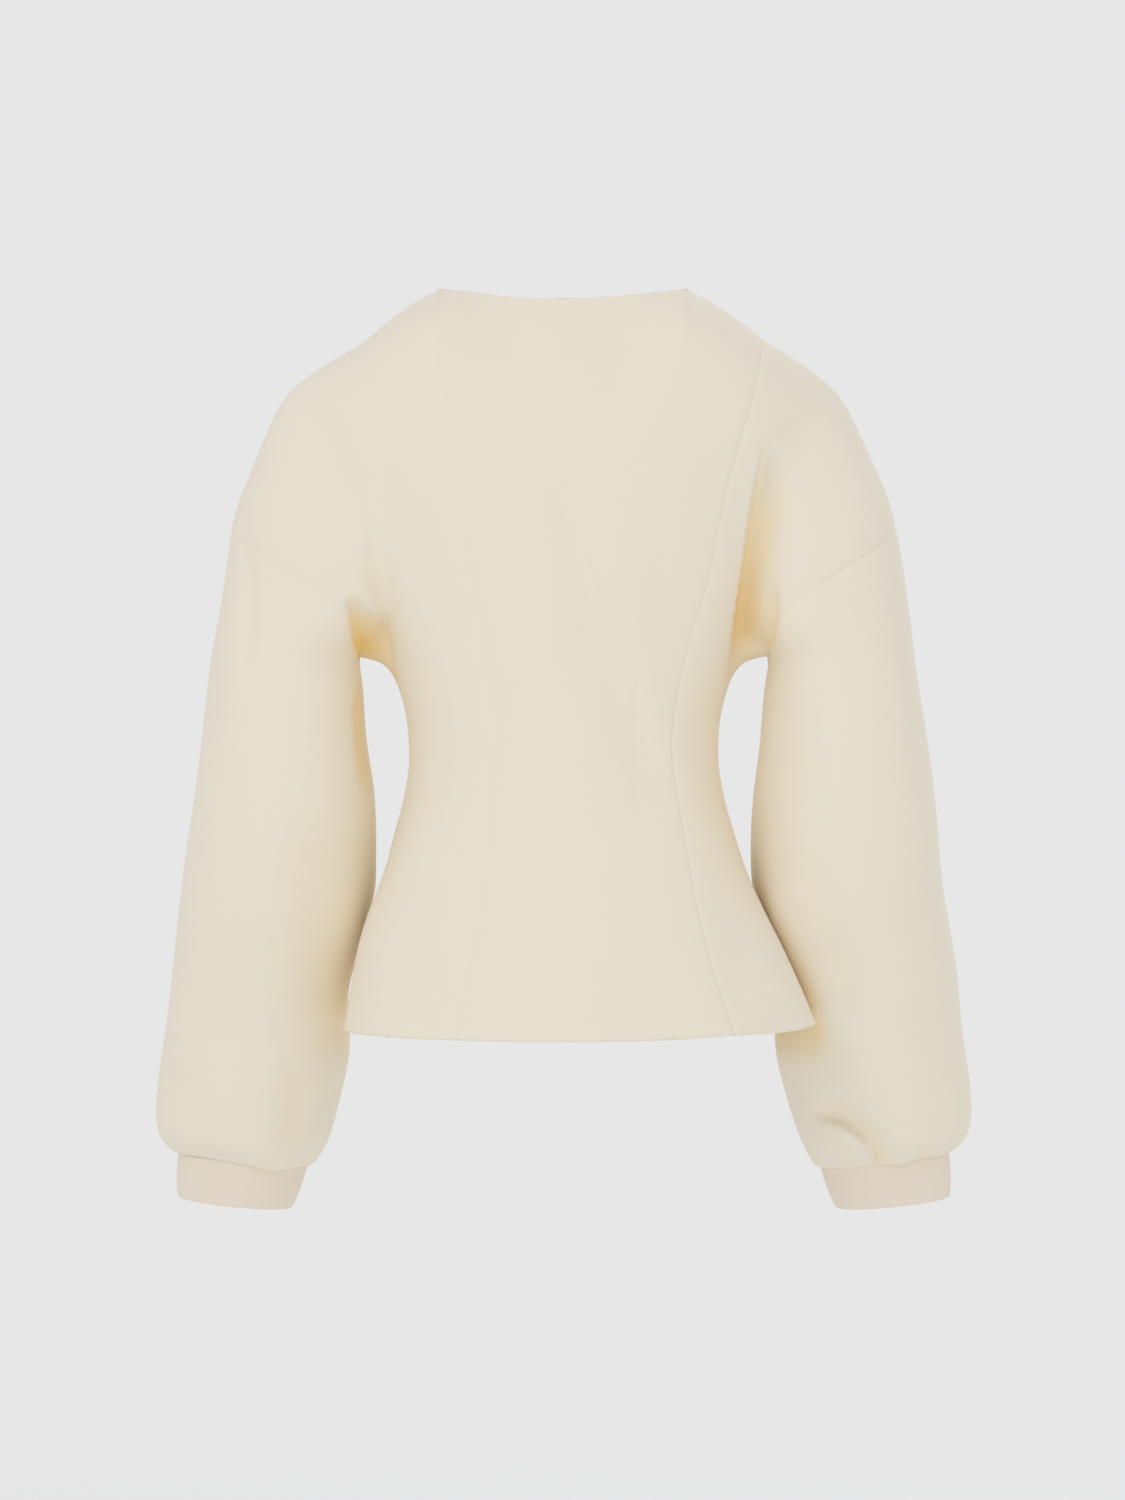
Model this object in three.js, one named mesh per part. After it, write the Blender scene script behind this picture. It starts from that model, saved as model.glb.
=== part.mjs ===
// A cropped jacket in thick double knit, standing open as it does when worn, with nobody in it.
// Millimetres, +Z up, the front faces -Y and the wearer's left is +X.
// The origin lies midway between the two highest points of the shoulders, where the jacket hangs.
//
// The cloth is one skin, worked out for one half of the jacket as distances "out" from the centre line.
// Every horizontal cut through it joins two rounded forms, the torso and the arm, with a valley between
// them, and the shoulders roll over a sloping ridge. Each cut piece takes its own patch of that skin and
// gives it a wall.

import * as THREE from "three";

// ---------------------------------------------------------------- driving dimensions

const CLOTH = 2; // wall of the double knit
const CUFF_CLOTH = 3; // the cuff band is folded double
const SEAM_GAP = 0.3; // daylight between two pieces that are sewn together

const NECK_HALF = 94; // half the width of the neck opening
const NECK = {
  back: { drop: 13, reach: 62, dip: 2.4, square: 1, plan: 2.6, ease: 100 },
  front: { drop: 78, reach: 84, dip: 2.5, square: 0.8, plan: 2.4, ease: 90 },
};
const PRINCESS_TOP = 148; // where both princess seams leave the shoulder seam
const VALLEY_TOP = 162; // where the fold between torso and arm begins on the shoulder
const SHOULDER_POINT = 205; // where the shoulder turns down into the arm
const ARMHOLE_TOP = -176; // height of the dropped armhole seam on the outside of the arm
const UNDERARM = -276;
const SLEEVE_END = -662; // height where the gathered sleeve meets the cuff
const HEM = -554;
const HEM_RISE = { left: 1, right: 5 }; // how much higher the flared hem stands at each side seam
const ARMHOLE_BOW = 1.3; // how the armhole seam bends on its way down to the underarm
const VALLEY_SOFT = 22; // rounding of the valley at the shoulder, which sharpens down to the underarm

// The outer line in the back view: neck point, shoulder slope, arm, full sleeve, and its turn in to the cuff.
const OUTER = [
  { z: 0, out: 94 },
  { z: -2, out: 101 },
  { z: -5, out: 106.5 },
  { z: -20, out: 127 },
  { z: -36, out: 148.5 },
  { z: -52, out: 173 },
  { z: -66, out: 194 },
  { z: -76, out: 205.5 },
  { z: -91, out: 215 },
  { z: -112, out: 223.5 },
  { z: -131, out: 231.5 },
  { z: -156, out: 243 },
  { z: -176, out: 249 },
  { z: -240, out: 257.5 },
  { z: -320, out: 269.5 },
  { z: -440, out: 288 },
  { z: -502, out: 297.5 },
  { z: -564, out: 307 },
  { z: -606, out: 312 },
  { z: -632, out: 314 },
  { z: -649, out: 312 },
  { z: -657, out: 305 },
  { z: -662, out: 297.5 },
];

// Arm and sleeve at each height: inner line, backmost and frontmost cloth, and the line midway.
const ARM = [
  { z: 0, inner: 4, back: 50, mid: 0, front: -50 },
  { z: -50, inner: 67, back: 50, mid: 0, front: -50 },
  { z: -100, inner: 96, back: 50, mid: 0, front: -50 },
  { z: -150, inner: 104, back: 55, mid: 0, front: -54 },
  { z: -200, inner: 112, back: 60, mid: 0, front: -59 },
  { z: -245, inner: 119, back: 61, mid: 0, front: -61 },
  { z: -262, inner: 132, back: 60.5, mid: 0, front: -61.5 },
  { z: -276, inner: 147, back: 60, mid: 0, front: -62 },
  { z: -281, inner: 152, back: 60, mid: 0, front: -62 },
  { z: -292, inner: 151, back: 60, mid: -1, front: -63 },
  { z: -337, inner: 147.5, back: 60, mid: -5, front: -68 },
  { z: -382, inner: 142.5, back: 57, mid: -11, front: -76 },
  { z: -440, inner: 141, back: 45, mid: -25, front: -92 },
  { z: -470, inner: 147, back: 34, mid: -36, front: -103 },
  { z: -502, inner: 157, back: 20, mid: -49, front: -116 },
  { z: -533, inner: 163, back: 7, mid: -61, front: -127 },
  { z: -564, inner: 164, back: -6, mid: -72, front: -137 },
  { z: -606, inner: 172, back: -19, mid: -82, front: -143 },
  { z: -632, inner: 179, back: -27, mid: -86, front: -144 },
  { z: -649, inner: 186, back: -34, mid: -89, front: -141 },
  { z: -657, inner: 194, back: -45, mid: -90, front: -134 },
  { z: -662, inner: 199, back: -53, mid: -91, front: -129 },
];

// Torso rings: half width on the wearer's left and right, backmost and frontmost cloth, the side seam's place
// between them, and how square the ring is (2 is an ellipse).
const TORSO = [
  { z: 0, left: 270, right: 270, back: 82, seam: 0, front: -78, square: 2.2 },
  { z: -60, left: 224, right: 224, back: 92, seam: 0, front: -90, square: 2.2 },
  { z: -110, left: 190, right: 190, back: 98, seam: 0, front: -104, square: 2.2 },
  { z: -160, left: 164, right: 164, back: 101, seam: 0, front: -119, square: 2.2 },
  { z: -205, left: 149, right: 149, back: 98, seam: 0, front: -128, square: 2.2 },
  { z: -245, left: 137, right: 137, back: 94, seam: 0, front: -122, square: 2.2 },
  { z: -276, left: 127.5, right: 127.5, back: 90, seam: 0, front: -112, square: 2.15 },
  { z: -307, left: 119.5, right: 119.5, back: 87, seam: 0, front: -102, square: 2.1 },
  { z: -326, left: 116, right: 116, back: 86, seam: 0, front: -97, square: 2.1 },
  { z: -350, left: 115.5, right: 115.5, back: 86, seam: 0, front: -94, square: 2.1 },
  { z: -382, left: 120.5, right: 120.5, back: 90, seam: 3, front: -96, square: 2.05 },
  { z: -406, left: 127.5, right: 127.5, back: 95, seam: 6, front: -99, square: 2.05 },
  { z: -440, left: 136.5, right: 137, back: 104, seam: 12, front: -104, square: 2 },
  { z: -470, left: 147, right: 149, back: 112, seam: 17, front: -109, square: 1.95 },
  { z: -500, left: 155, right: 164, back: 119, seam: 22, front: -114, square: 1.9 },
  { z: -530, left: 161, right: 178, back: 125, seam: 26, front: -118, square: 1.9 },
  { z: -556, left: 166, right: 188, back: 130, seam: 30, front: -121, square: 1.9 },
];

// Under the arm the side seam leaves the torso ring and runs out to the arm in a small web of cloth.
const WEB = [
  { z: -276, out: 147 },
  { z: -279, out: 140 },
  { z: -284, out: 133 },
  { z: -292, out: 127 },
  { z: -307, out: 120.5 },
  { z: -326, out: 116 },
];
const WEB_ROUND = { torso: 12, arm: 30 }; // radius of the web's lower edge, from front to back

// The princess seams, and the valley between torso and arm, as distances out from the centre line.
const SEAMS = [
  { z: -38, back: 148, front: 148, valley: 162 },
  { z: -58, back: 145.5, front: 145, valley: 161.5 },
  { z: -81, back: 140, front: 135, valley: 157 },
  { z: -105, back: 133, front: 123, valley: 152 },
  { z: -143, back: 122.5, front: 106, valley: 146 },
  { z: -184, back: 113.5, front: 95, valley: 140 },
  { z: -228, back: 104, front: 88, valley: 134 },
  { z: -250, back: 97, front: 85.5, valley: 134 },
  { z: -264, back: 93, front: 84, valley: 138 },
  { z: -276, back: 90, front: 82, valley: 147 },
  { z: -304, back: 83.5, front: 76, valley: 147 },
  { z: -341, back: 80, front: 72, valley: 147 },
  { z: -381, back: 84, front: 75, valley: 147 },
  { z: -434, back: 93, front: 84, valley: 147 },
  { z: -482, back: 103, front: 94, valley: 147 },
  { z: -530, back: 116.5, front: 106, valley: 147 },
  { z: -556, back: 124, front: 113, valley: 147 },
];

// The largest folds, each a soft trough (depth below 0) or ridge along a line in the back or front view.
const FOLDS = [
  { face: "back", x1: 6, z1: -140, x2: -38, z2: -262, width: 26, depth: -4 },
  { face: "back", x1: -34, z1: -250, x2: -80, z2: -396, width: 24, depth: -4.5 },
  { face: "back", x1: 160, z1: -84, x2: 150, z2: -200, width: 20, depth: -6 },
  { face: "back", x1: -126, z1: -455, x2: -127, z2: -540, width: 16, depth: -5 },
  { face: "back", x1: 178, z1: -400, x2: 186, z2: -640, width: 26, depth: -6 },
  { face: "back", x1: -196, z1: -628, x2: -246, z2: -654, width: 17, depth: -8 },
  { face: "back", x1: -214, z1: -604, x2: -266, z2: -632, width: 20, depth: 6 },
  { face: "front", x1: 48, z1: -170, x2: 84, z2: -290, width: 20, depth: -4 },
  { face: "front", x1: -152, z1: -90, x2: -148, z2: -205, width: 20, depth: -6 },
  { face: "front", x1: 132, z1: -450, x2: 138, z2: -540, width: 18, depth: -5 },
  { face: "front", x1: -182, z1: -390, x2: -190, z2: -630, width: 26, depth: -6 },
  { face: "front", x1: 206, z1: -620, x2: 262, z2: -652, width: 18, depth: -7 },
  { face: "front", x1: 240, z1: -420, x2: 262, z2: -560, width: 24, depth: -4 },
];

const FOLD_FADE = 18; // folds die away this near to the line between back and front
const FOLD_TAPER = 0.25; // and over this fraction of their length, on either side of each end

// Cuff: an upright elliptical band, tilted with the forearm, the same on both sides.
const CUFF = [
  { z: -662.4, out: 248, half: 49, mid: -91, deep: 37, tilt: 5.5 },
  { z: -671, out: 250, half: 47.5, mid: -93, deep: 36, tilt: 5 },
  { z: -682, out: 252, half: 45, mid: -95.5, deep: 34.5, tilt: 4.5 },
  { z: -694, out: 253, half: 42, mid: -98, deep: 33, tilt: 4 },
];
const TILT_STARTS = -450; // below this height the sleeve's rings begin to tilt with the forearm
const CUFF_TILT = 5.5; // half the difference in height across the sleeve's end
const FALL_OFF = 30; // how fast a rounded form drops away from the skin beyond its own edge
const WEB_SOFT = 8; // rounding where the web leaves the torso
const VALLEY_SHARPENS = 150; // height above the underarm over which the valley loses its rounding
const NECK_BLEND = 0.45; // fraction of the neck's half width where the edge begins to roll like a shoulder

// How finely each patch is divided.
const NECK_COLUMNS = [0, 0.35, 0.64, 0.86, 1]; // fractions of the way to the neck point
const SHOULDER_COLUMNS = [0.5, 1]; // and of the way on to the princess seam
const STRIP_COLUMNS = 4;
const ARM_COLUMNS = 10; // from the valley over the arm to its outer line
const YOKE_ROWS = 10; // from the shoulder to the underarm, closer together at both ends
const rowAt = (i) => (1 - Math.cos((i / YOKE_ROWS) * Math.PI)) / 2;
const TORSO_LEVELS = [-279, -284, -293, -307, -326, -350, -378, -406, -436, -466, -496, -526, HEM];
const SLEEVE_ROWS = [
  0, 0.03, 0.08, 0.14, 0.22, 0.3, 0.38, 0.46, 0.54, 0.62, 0.7, 0.78, 0.85, 0.91, 0.96, 0.985, 1,
];

// Four hooks and eyes inside the front edges.
const FASTENINGS = [-119, -208, -326, -436];
const WIRE = 0.5; // radius of their wire
const WIRE_STEPS = 16;
const WIRE_SIDES = 8;
const EDGE_STEP = 5; // the front edge's slope is measured over this far up and down

// Their wires, as points across from the front edge, deep inside the cloth's inner side, and up.
const EYE = [
  { across: 9, deep: 1.5, up: 3.2 },
  { across: 4, deep: 1.35, up: 2.8 },
  { across: -0.5, deep: 1.35, up: 2.2 },
  { across: -2.4, deep: 1.35, up: 0 },
  { across: -0.5, deep: 1.35, up: -2.2 },
  { across: 4, deep: 1.35, up: -2.8 },
  { across: 9, deep: 1.5, up: -3.2 },
];
const HOOK = [
  { across: -10, deep: 1.5, up: 0 },
  { across: -6, deep: 1.4, up: 0 },
  { across: -4, deep: 2.5, up: 0 },
  { across: -2.4, deep: 3.1, up: 0 },
  { across: -0.9, deep: 2.5, up: 0 },
  { across: -0.5, deep: 1.4, up: 0 },
];

// ---------------------------------------------------------------- curves through the tables

const mix = (a, b, t) => a + (b - a) * t;
const clamp = (t) => Math.min(1, Math.max(0, t));
const smooth = (t) => clamp(t) ** 2 * (3 - 2 * clamp(t));

// A smooth curve through one column of a table, which never overshoots its rows.
function curve(rows, key) {
  const points = rows.map((row) => [row.z, row[key]]).sort((a, b) => a[0] - b[0]);
  const last = points.length - 1;
  const slopes = points.slice(1).map((p, i) => (p[1] - points[i][1]) / (p[0] - points[i][0]));
  const tangents = points.map((_, i) => {
    if (i === 0) return slopes[0];
    if (i === last) return slopes[last - 1];
    const product = slopes[i - 1] * slopes[i];
    return product <= 0 ? 0 : (2 * product) / (slopes[i - 1] + slopes[i]);
  });
  return (z) => {
    if (z <= points[0][0]) return points[0][1];
    if (z >= points[last][0]) return points[last][1];
    const i = points.findIndex((p) => p[0] > z) - 1;
    const step = points[i + 1][0] - points[i][0];
    const t = (z - points[i][0]) / step;
    return (
      points[i][1] * (1 + 2 * t) * (1 - t) ** 2 +
      points[i + 1][1] * (3 - 2 * t) * t ** 2 +
      step * (tangents[i] * t * (1 - t) ** 2 - tangents[i + 1] * (1 - t) * t ** 2)
    );
  };
}

const curves = (rows, keys) => Object.fromEntries(keys.map((key) => [key, curve(rows, key)]));
const outer = curve(OUTER, "out");
const arm = curves(ARM, ["inner", "back", "mid", "front"]);
const web = curve(WEB, "out");
const torso = curves(TORSO, ["left", "right", "back", "seam", "front", "square"]);
const seams = curves(SEAMS, ["back", "front", "valley"]);
const cuff = curves(CUFF, ["out", "half", "mid", "deep", "tilt"]);

// The height where a falling measure crosses zero.
function crossing(measure, high, low) {
  for (let step = 0; step < 50; step++) {
    const middle = (high + low) / 2;
    if (measure(middle) > 0) high = middle;
    else low = middle;
  }
  return (high + low) / 2;
}

// Height of the ridge of the shoulder, or of the outside of the arm, at a distance out.
const ridge = (out) => crossing((z) => out - outer(z), 0, UNDERARM - 10);

// Height of the neckline, or of the ridge beyond the neck point.
function topEdge(face, out) {
  if (out >= NECK_HALF) return ridge(out);
  const { drop, dip, square } = NECK[face];
  return -drop * (1 - (out / NECK_HALF) ** dip) ** square;
}

// ---------------------------------------------------------------- the skin

// The larger of two heights, rounded where they cross.
const blend = (a, b, soft) => (a + b + Math.hypot(a - b, soft)) / 2;

// The side seam's distance out below the underarm.
const sideLine = (side, z) => (z < WEB[WEB.length - 1].z ? torso[side](z) : web(z));

// How far the torso's cloth stands from the middle plane, to the back or the front.
function torsoReach(face, side, out, z) {
  const sign = face === "back" ? 1 : -1;
  const seam = torso.seam(z) * sign;
  const square = torso.square(z);
  const around = (out / torso[side](z)) ** square;
  const deep = torso[face](z) * sign - seam;
  const ring = around < 1 ? seam + deep * (1 - around) ** (1 / square) : seam - FALL_OFF * (around - 1);
  const webEnd = WEB[WEB.length - 1];
  if (z <= webEnd.z || out <= webEnd.out) return ring;
  const lowest = crossing((height) => web(height) - out, UNDERARM, webEnd.z);
  const towardsArm = clamp((out - webEnd.out) / (WEB[0].out - webEnd.out));
  const round = mix(WEB_ROUND.torso, WEB_ROUND.arm, towardsArm);
  const webReach = round * Math.sqrt(1 - (1 - clamp((z - lowest) / round)) ** 2);
  return blend(ring, webReach, Math.min(WEB_SOFT, webReach));
}

// How far the cloth stands from the middle plane, to the back or the front, at a place in the back view.
function reach(face, side, out, z) {
  const sign = face === "back" ? 1 : -1;
  const centre = (outer(z) + arm.inner(z)) / 2;
  const half = (outer(z) - arm.inner(z)) / 2;
  const middle = arm.mid(z) * sign;
  const inward = Math.max(0, (centre - out) / half);
  const armDeep = arm[face](z) * sign - middle;
  const onArm = inward < 1;
  const armReach = middle + (onArm ? armDeep * Math.sqrt(1 - inward ** 2) : -FALL_OFF * (inward - 1));
  const soft = VALLEY_SOFT * clamp((z - UNDERARM) / VALLEY_SHARPENS);
  const full = blend(torsoReach(face, side, out, z), armReach, soft);

  // Towards the neckline the cloth leans in gently; towards the ridge it rolls over to meet the other face.
  const across = outer(z) - out;
  const above = topEdge(face, out) - z;
  const distance = across <= 0 || above <= 0 ? 0 : (across * above) / Math.hypot(across, above);
  const shoulder = smooth((out / NECK_HALF - NECK_BLEND) / (1 - NECK_BLEND));
  const span = mix(NECK[face].ease, half, shoulder);
  const left = 1 - Math.min(1, distance / span);
  const lift = mix(1 - left ** 2, Math.sqrt(1 - left ** 2), shoulder);
  const { reach: neckReach, plan } = NECK[face];
  const edge = out < NECK_HALF ? neckReach * (1 - (out / NECK_HALF) ** plan) ** (1 / plan) : middle;
  return sign * mix(edge, full, lift);
}

// A point of the skin above the underarm.
function place(face, side, out, z) {
  return new THREE.Vector3(side === "left" ? out : -out, reach(face, side, out, z), z);
}

// A point of the torso below the underarm, where the arm no longer touches it.
function torsoPoint(face, side, out, z) {
  const sign = face === "back" ? 1 : -1;
  const onSeam = out > sideLine(side, z) - 0.001;
  const y = onSeam ? torso.seam(z) : sign * torsoReach(face, side, out, z);
  return new THREE.Vector3(side === "left" ? out : -out, y, z);
}

// The armhole seam, at an angle round the arm from its outer line (0) to the underarm (half a turn).
const armholeHeight = (angle) => mix(ARMHOLE_TOP, UNDERARM, (angle / Math.PI) ** ARMHOLE_BOW);

// How far out a point of the arm lies, at that angle and a height.
function armPlace(angle, z) {
  const innerLine = z > UNDERARM ? seams.valley(z) : arm.inner(z);
  const centre = (outer(z) + innerLine) / 2;
  return centre + (outer(z) - centre) * Math.cos(angle);
}

// A point of the sleeve, at an angle from the outer line over the back (0 to half a turn) and home by the
// front, and a fraction of the way along from the armhole to the cuff.
function sleevePoint(side, angle, along) {
  const face = angle <= Math.PI ? "back" : "front";
  const turn = angle <= Math.PI ? angle : 2 * Math.PI - angle;
  const z = mix(armholeHeight(turn), SLEEVE_END, along);
  const out = armPlace(turn, z);
  if (z >= UNDERARM) return place(face, side, out, z);
  const y = arm.mid(z) + (arm[face](z) - arm.mid(z)) * Math.sin(turn);
  const tilt = CUFF_TILT * smooth((TILT_STARTS - z) / (TILT_STARTS - SLEEVE_END)) * Math.cos(turn);
  return new THREE.Vector3(side === "left" ? out : -out, y, z + tilt);
}

// The displacement of the folds at a place, out of the cloth.
function foldAt(point, face) {
  let sum = 0;
  for (const fold of FOLDS) {
    if (fold.face !== face) continue;
    const along = new THREE.Vector2(fold.x2 - fold.x1, fold.z2 - fold.z1);
    const offset = new THREE.Vector2(point.x - fold.x1, point.z - fold.z1);
    const t = offset.dot(along) / along.lengthSq();
    const aside = Math.abs(offset.cross(along)) / along.length();
    const taper =
      smooth((t + FOLD_TAPER) / (2 * FOLD_TAPER)) * smooth((1 + FOLD_TAPER - t) / (2 * FOLD_TAPER));
    sum += fold.depth * taper * Math.exp(-((aside / fold.width) ** 2));
  }
  return sum;
}

// ---------------------------------------------------------------- patches of the skin, as grids of points

// A column is { start, at }: how far out it starts on the top edge, and how far out it lies at each height
// below.
function yokeColumns(face, side, columns) {
  return columns.map(({ start, at }) => {
    const top = topEdge(face, start);
    const first = place(face, side, start, top);
    if (start >= NECK_HALF - 0.01) first.y = 0;
    const points = [first];
    for (let i = 1; i <= YOKE_ROWS; i++) {
      const z = mix(top, UNDERARM, rowAt(i));
      points.push(place(face, side, at(z), z));
    }
    return points;
  });
}

// The same columns carried on down to the hem, which rises a little towards the side seams.
function skirtColumns(face, side, columns) {
  return columns.map(({ at }) =>
    TORSO_LEVELS.map((z) => {
      const point = torsoPoint(face, side, at(z), z);
      const low = (UNDERARM - z) / (UNDERARM - HEM);
      point.z += HEM_RISE[side] * (low * (at(z) / sideLine(side, z))) ** 2;
      return point;
    }),
  );
}

// The shoulder cap: a four-sided patch between the valley, the ridge, the outside of the arm and the
// armhole seam.
function capColumns(face, side, valleyHeights) {
  const shoulderZ = crossing((z) => SHOULDER_POINT - outer(z), 0, UNDERARM);
  const corners = {
    valleyTop: [VALLEY_TOP, valleyHeights[0]],
    shoulder: [SHOULDER_POINT, shoulderZ],
    underarm: [arm.inner(UNDERARM), UNDERARM],
    armhole: [outer(ARMHOLE_TOP), ARMHOLE_TOP],
  };
  const columns = [];
  for (let j = 1; j <= ARM_COLUMNS; j++) {
    const f = j / ARM_COLUMNS;
    const angle = Math.PI * (1 - f);
    const topOut = mix(VALLEY_TOP, SHOULDER_POINT, f);
    const top = [topOut, ridge(topOut)];
    const bottomZ = armholeHeight(angle);
    const bottom = [armPlace(angle, bottomZ), bottomZ];
    const points = [];
    for (let i = 0; i <= YOKE_ROWS; i++) {
      const v = rowAt(i);
      const valley = [seams.valley(valleyHeights[i]), valleyHeights[i]];
      const outsideZ = mix(shoulderZ, ARMHOLE_TOP, v);
      const outside = [outer(outsideZ), outsideZ];
      const [out, z] = [0, 1].map((k) => {
        const upper = mix(corners.valleyTop[k], corners.shoulder[k], f);
        const lower = mix(corners.underarm[k], corners.armhole[k], f);
        return mix(valley[k], outside[k], f) + mix(top[k], bottom[k], v) - mix(upper, lower, v);
      });
      const onEdge = i === 0 || j === ARM_COLUMNS;
      const point = place(face, side, onEdge ? Math.min(out, outer(z)) : out, z);
      if (onEdge) point.y = 0;
      points.push(point);
    }
    columns.push(points);
  }
  return columns;
}

// ---------------------------------------------------------------- pieces

// A piece is a grid of points, grid[column][row]. Cap columns are shorter, and a sleeve closes round.
function panelGrid(face, side, columns, withCap) {
  const yoke = yokeColumns(face, side, columns);
  const skirt = skirtColumns(face, side, columns);
  const grid = yoke.map((points, i) => [...points, ...skirt[i]]);
  if (!withCap) return grid;
  const valley = yoke[yoke.length - 1];
  return [...grid, ...capColumns(face, side, valley.map((point) => point.z))];
}

function centrePanel(face, side) {
  const starts = [
    ...NECK_COLUMNS.map((f) => f * NECK_HALF),
    ...SHOULDER_COLUMNS.map((f) => mix(NECK_HALF, PRINCESS_TOP, f)),
  ];
  const columns = starts.map((start) => ({ start, at: (z) => (start / PRINCESS_TOP) * seams[face](z) }));
  return panelGrid(face, side, columns, false);
}

// The strip from the princess seam to the side: its last column is the valley, then the side seam.
function sidePanel(face, side) {
  const edge = (z) => (z >= UNDERARM ? seams.valley(z) : sideLine(side, z));
  const columns = Array.from({ length: STRIP_COLUMNS + 1 }, (_, i) => {
    const f = Math.sin(((i / STRIP_COLUMNS) * Math.PI) / 2);
    return { start: mix(PRINCESS_TOP, VALLEY_TOP, f), at: (z) => mix(seams[face](z), edge(z), f) };
  });
  return panelGrid(face, side, columns, true);
}

function sleeveGrid(side) {
  return Array.from({ length: 2 * ARM_COLUMNS }, (_, j) => {
    const angle = (j / ARM_COLUMNS) * Math.PI;
    return SLEEVE_ROWS.map((along) => sleevePoint(side, angle, along));
  });
}

// The whole back is one piece: its left half, and its right half in reverse.
const wholeBack = () => [...centrePanel("back", "left").slice(1).reverse(), ...centrePanel("back", "right")];

const PIECES = [
  { name: "back", face: "back", grid: wholeBack(), closed: false },
  ...["left", "right"].flatMap((side) => [
    { name: `side_back_${side}`, face: "back", grid: sidePanel("back", side), closed: false },
    { name: `side_front_${side}`, face: "front", grid: sidePanel("front", side), closed: false },
    { name: `front_${side}`, face: "front", grid: centrePanel("front", side), closed: false },
    { name: `sleeve_${side}`, face: null, grid: sleeveGrid(side), closed: true },
  ]),
];

// The squares of a grid whose four corners are all there.
function squaresOf({ grid, closed }) {
  const squares = [];
  const columns = closed ? grid.length : grid.length - 1;
  for (let i = 0; i < columns; i++) {
    const next = grid[(i + 1) % grid.length];
    const rows = Math.min(grid[i].length, next.length) - 1;
    for (let j = 0; j < rows; j++) squares.push([grid[i][j], next[j], next[j + 1], grid[i][j + 1]]);
  }
  return squares;
}

// Pieces share their seam points, so a point's key finds the one normal that all of them use there.
const SAME_POINT = 0.02; // points this near are one point
const keyOf = (point) => point.toArray().map((v) => Math.round(v / SAME_POINT)).join(",");

// A square faces out when its normal points away from the middle of its own tube.
function orient(piece) {
  let sum = 0;
  for (const [a, b, c, d] of piece.squares) {
    const normal = c.clone().sub(a).cross(d.clone().sub(b));
    const centre = a.clone().add(c).multiplyScalar(0.5);
    const inside = piece.closed
      ? new THREE.Vector3(Math.sign(centre.x) * armPlace(Math.PI / 2, centre.z), arm.mid(centre.z), centre.z)
      : new THREE.Vector3(0, 0, centre.z);
    sum += normal.dot(centre.sub(inside));
  }
  if (sum < 0) piece.squares = piece.squares.map(([a, b, c, d]) => [d, c, b, a]);
}

function gatherNormals(pieces) {
  const normals = new Map();
  for (const { squares } of pieces) {
    for (const corners of squares) {
      const [a, b, c, d] = corners;
      const normal = c.clone().sub(a).cross(d.clone().sub(b));
      for (const corner of corners) {
        const key = keyOf(corner);
        if (!normals.has(key)) normals.set(key, new THREE.Vector3());
        normals.get(key).add(normal);
      }
    }
  }
  for (const normal of normals.values()) normal.normalize();
  return normals;
}

for (const piece of PIECES) {
  piece.squares = squaresOf(piece);
  orient(piece);
}

// Folds move the shared points along their normals, so that seams stay together.
const smoothNormals = gatherNormals(PIECES);
for (const piece of PIECES) {
  const moved = new Map();
  const move = (point) => {
    if (moved.has(point)) return moved.get(point);
    const middle = piece.closed ? arm.mid(point.z) : torso.seam(point.z);
    const face = point.y >= middle ? "back" : "front";
    const depth = foldAt(point, face) * smooth(Math.abs(point.y - middle) / FOLD_FADE);
    const result = point.clone().addScaledVector(smoothNormals.get(keyOf(point)), depth);
    moved.set(point, result);
    return result;
  };
  piece.squares = piece.squares.map((corners) => corners.map(move));
}
const foldedNormals = gatherNormals(PIECES);

// The least share of a full mitre that a sharp corner takes, so that its point doesn't run away.
const MITRE_LIMIT = 0.35;

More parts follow.
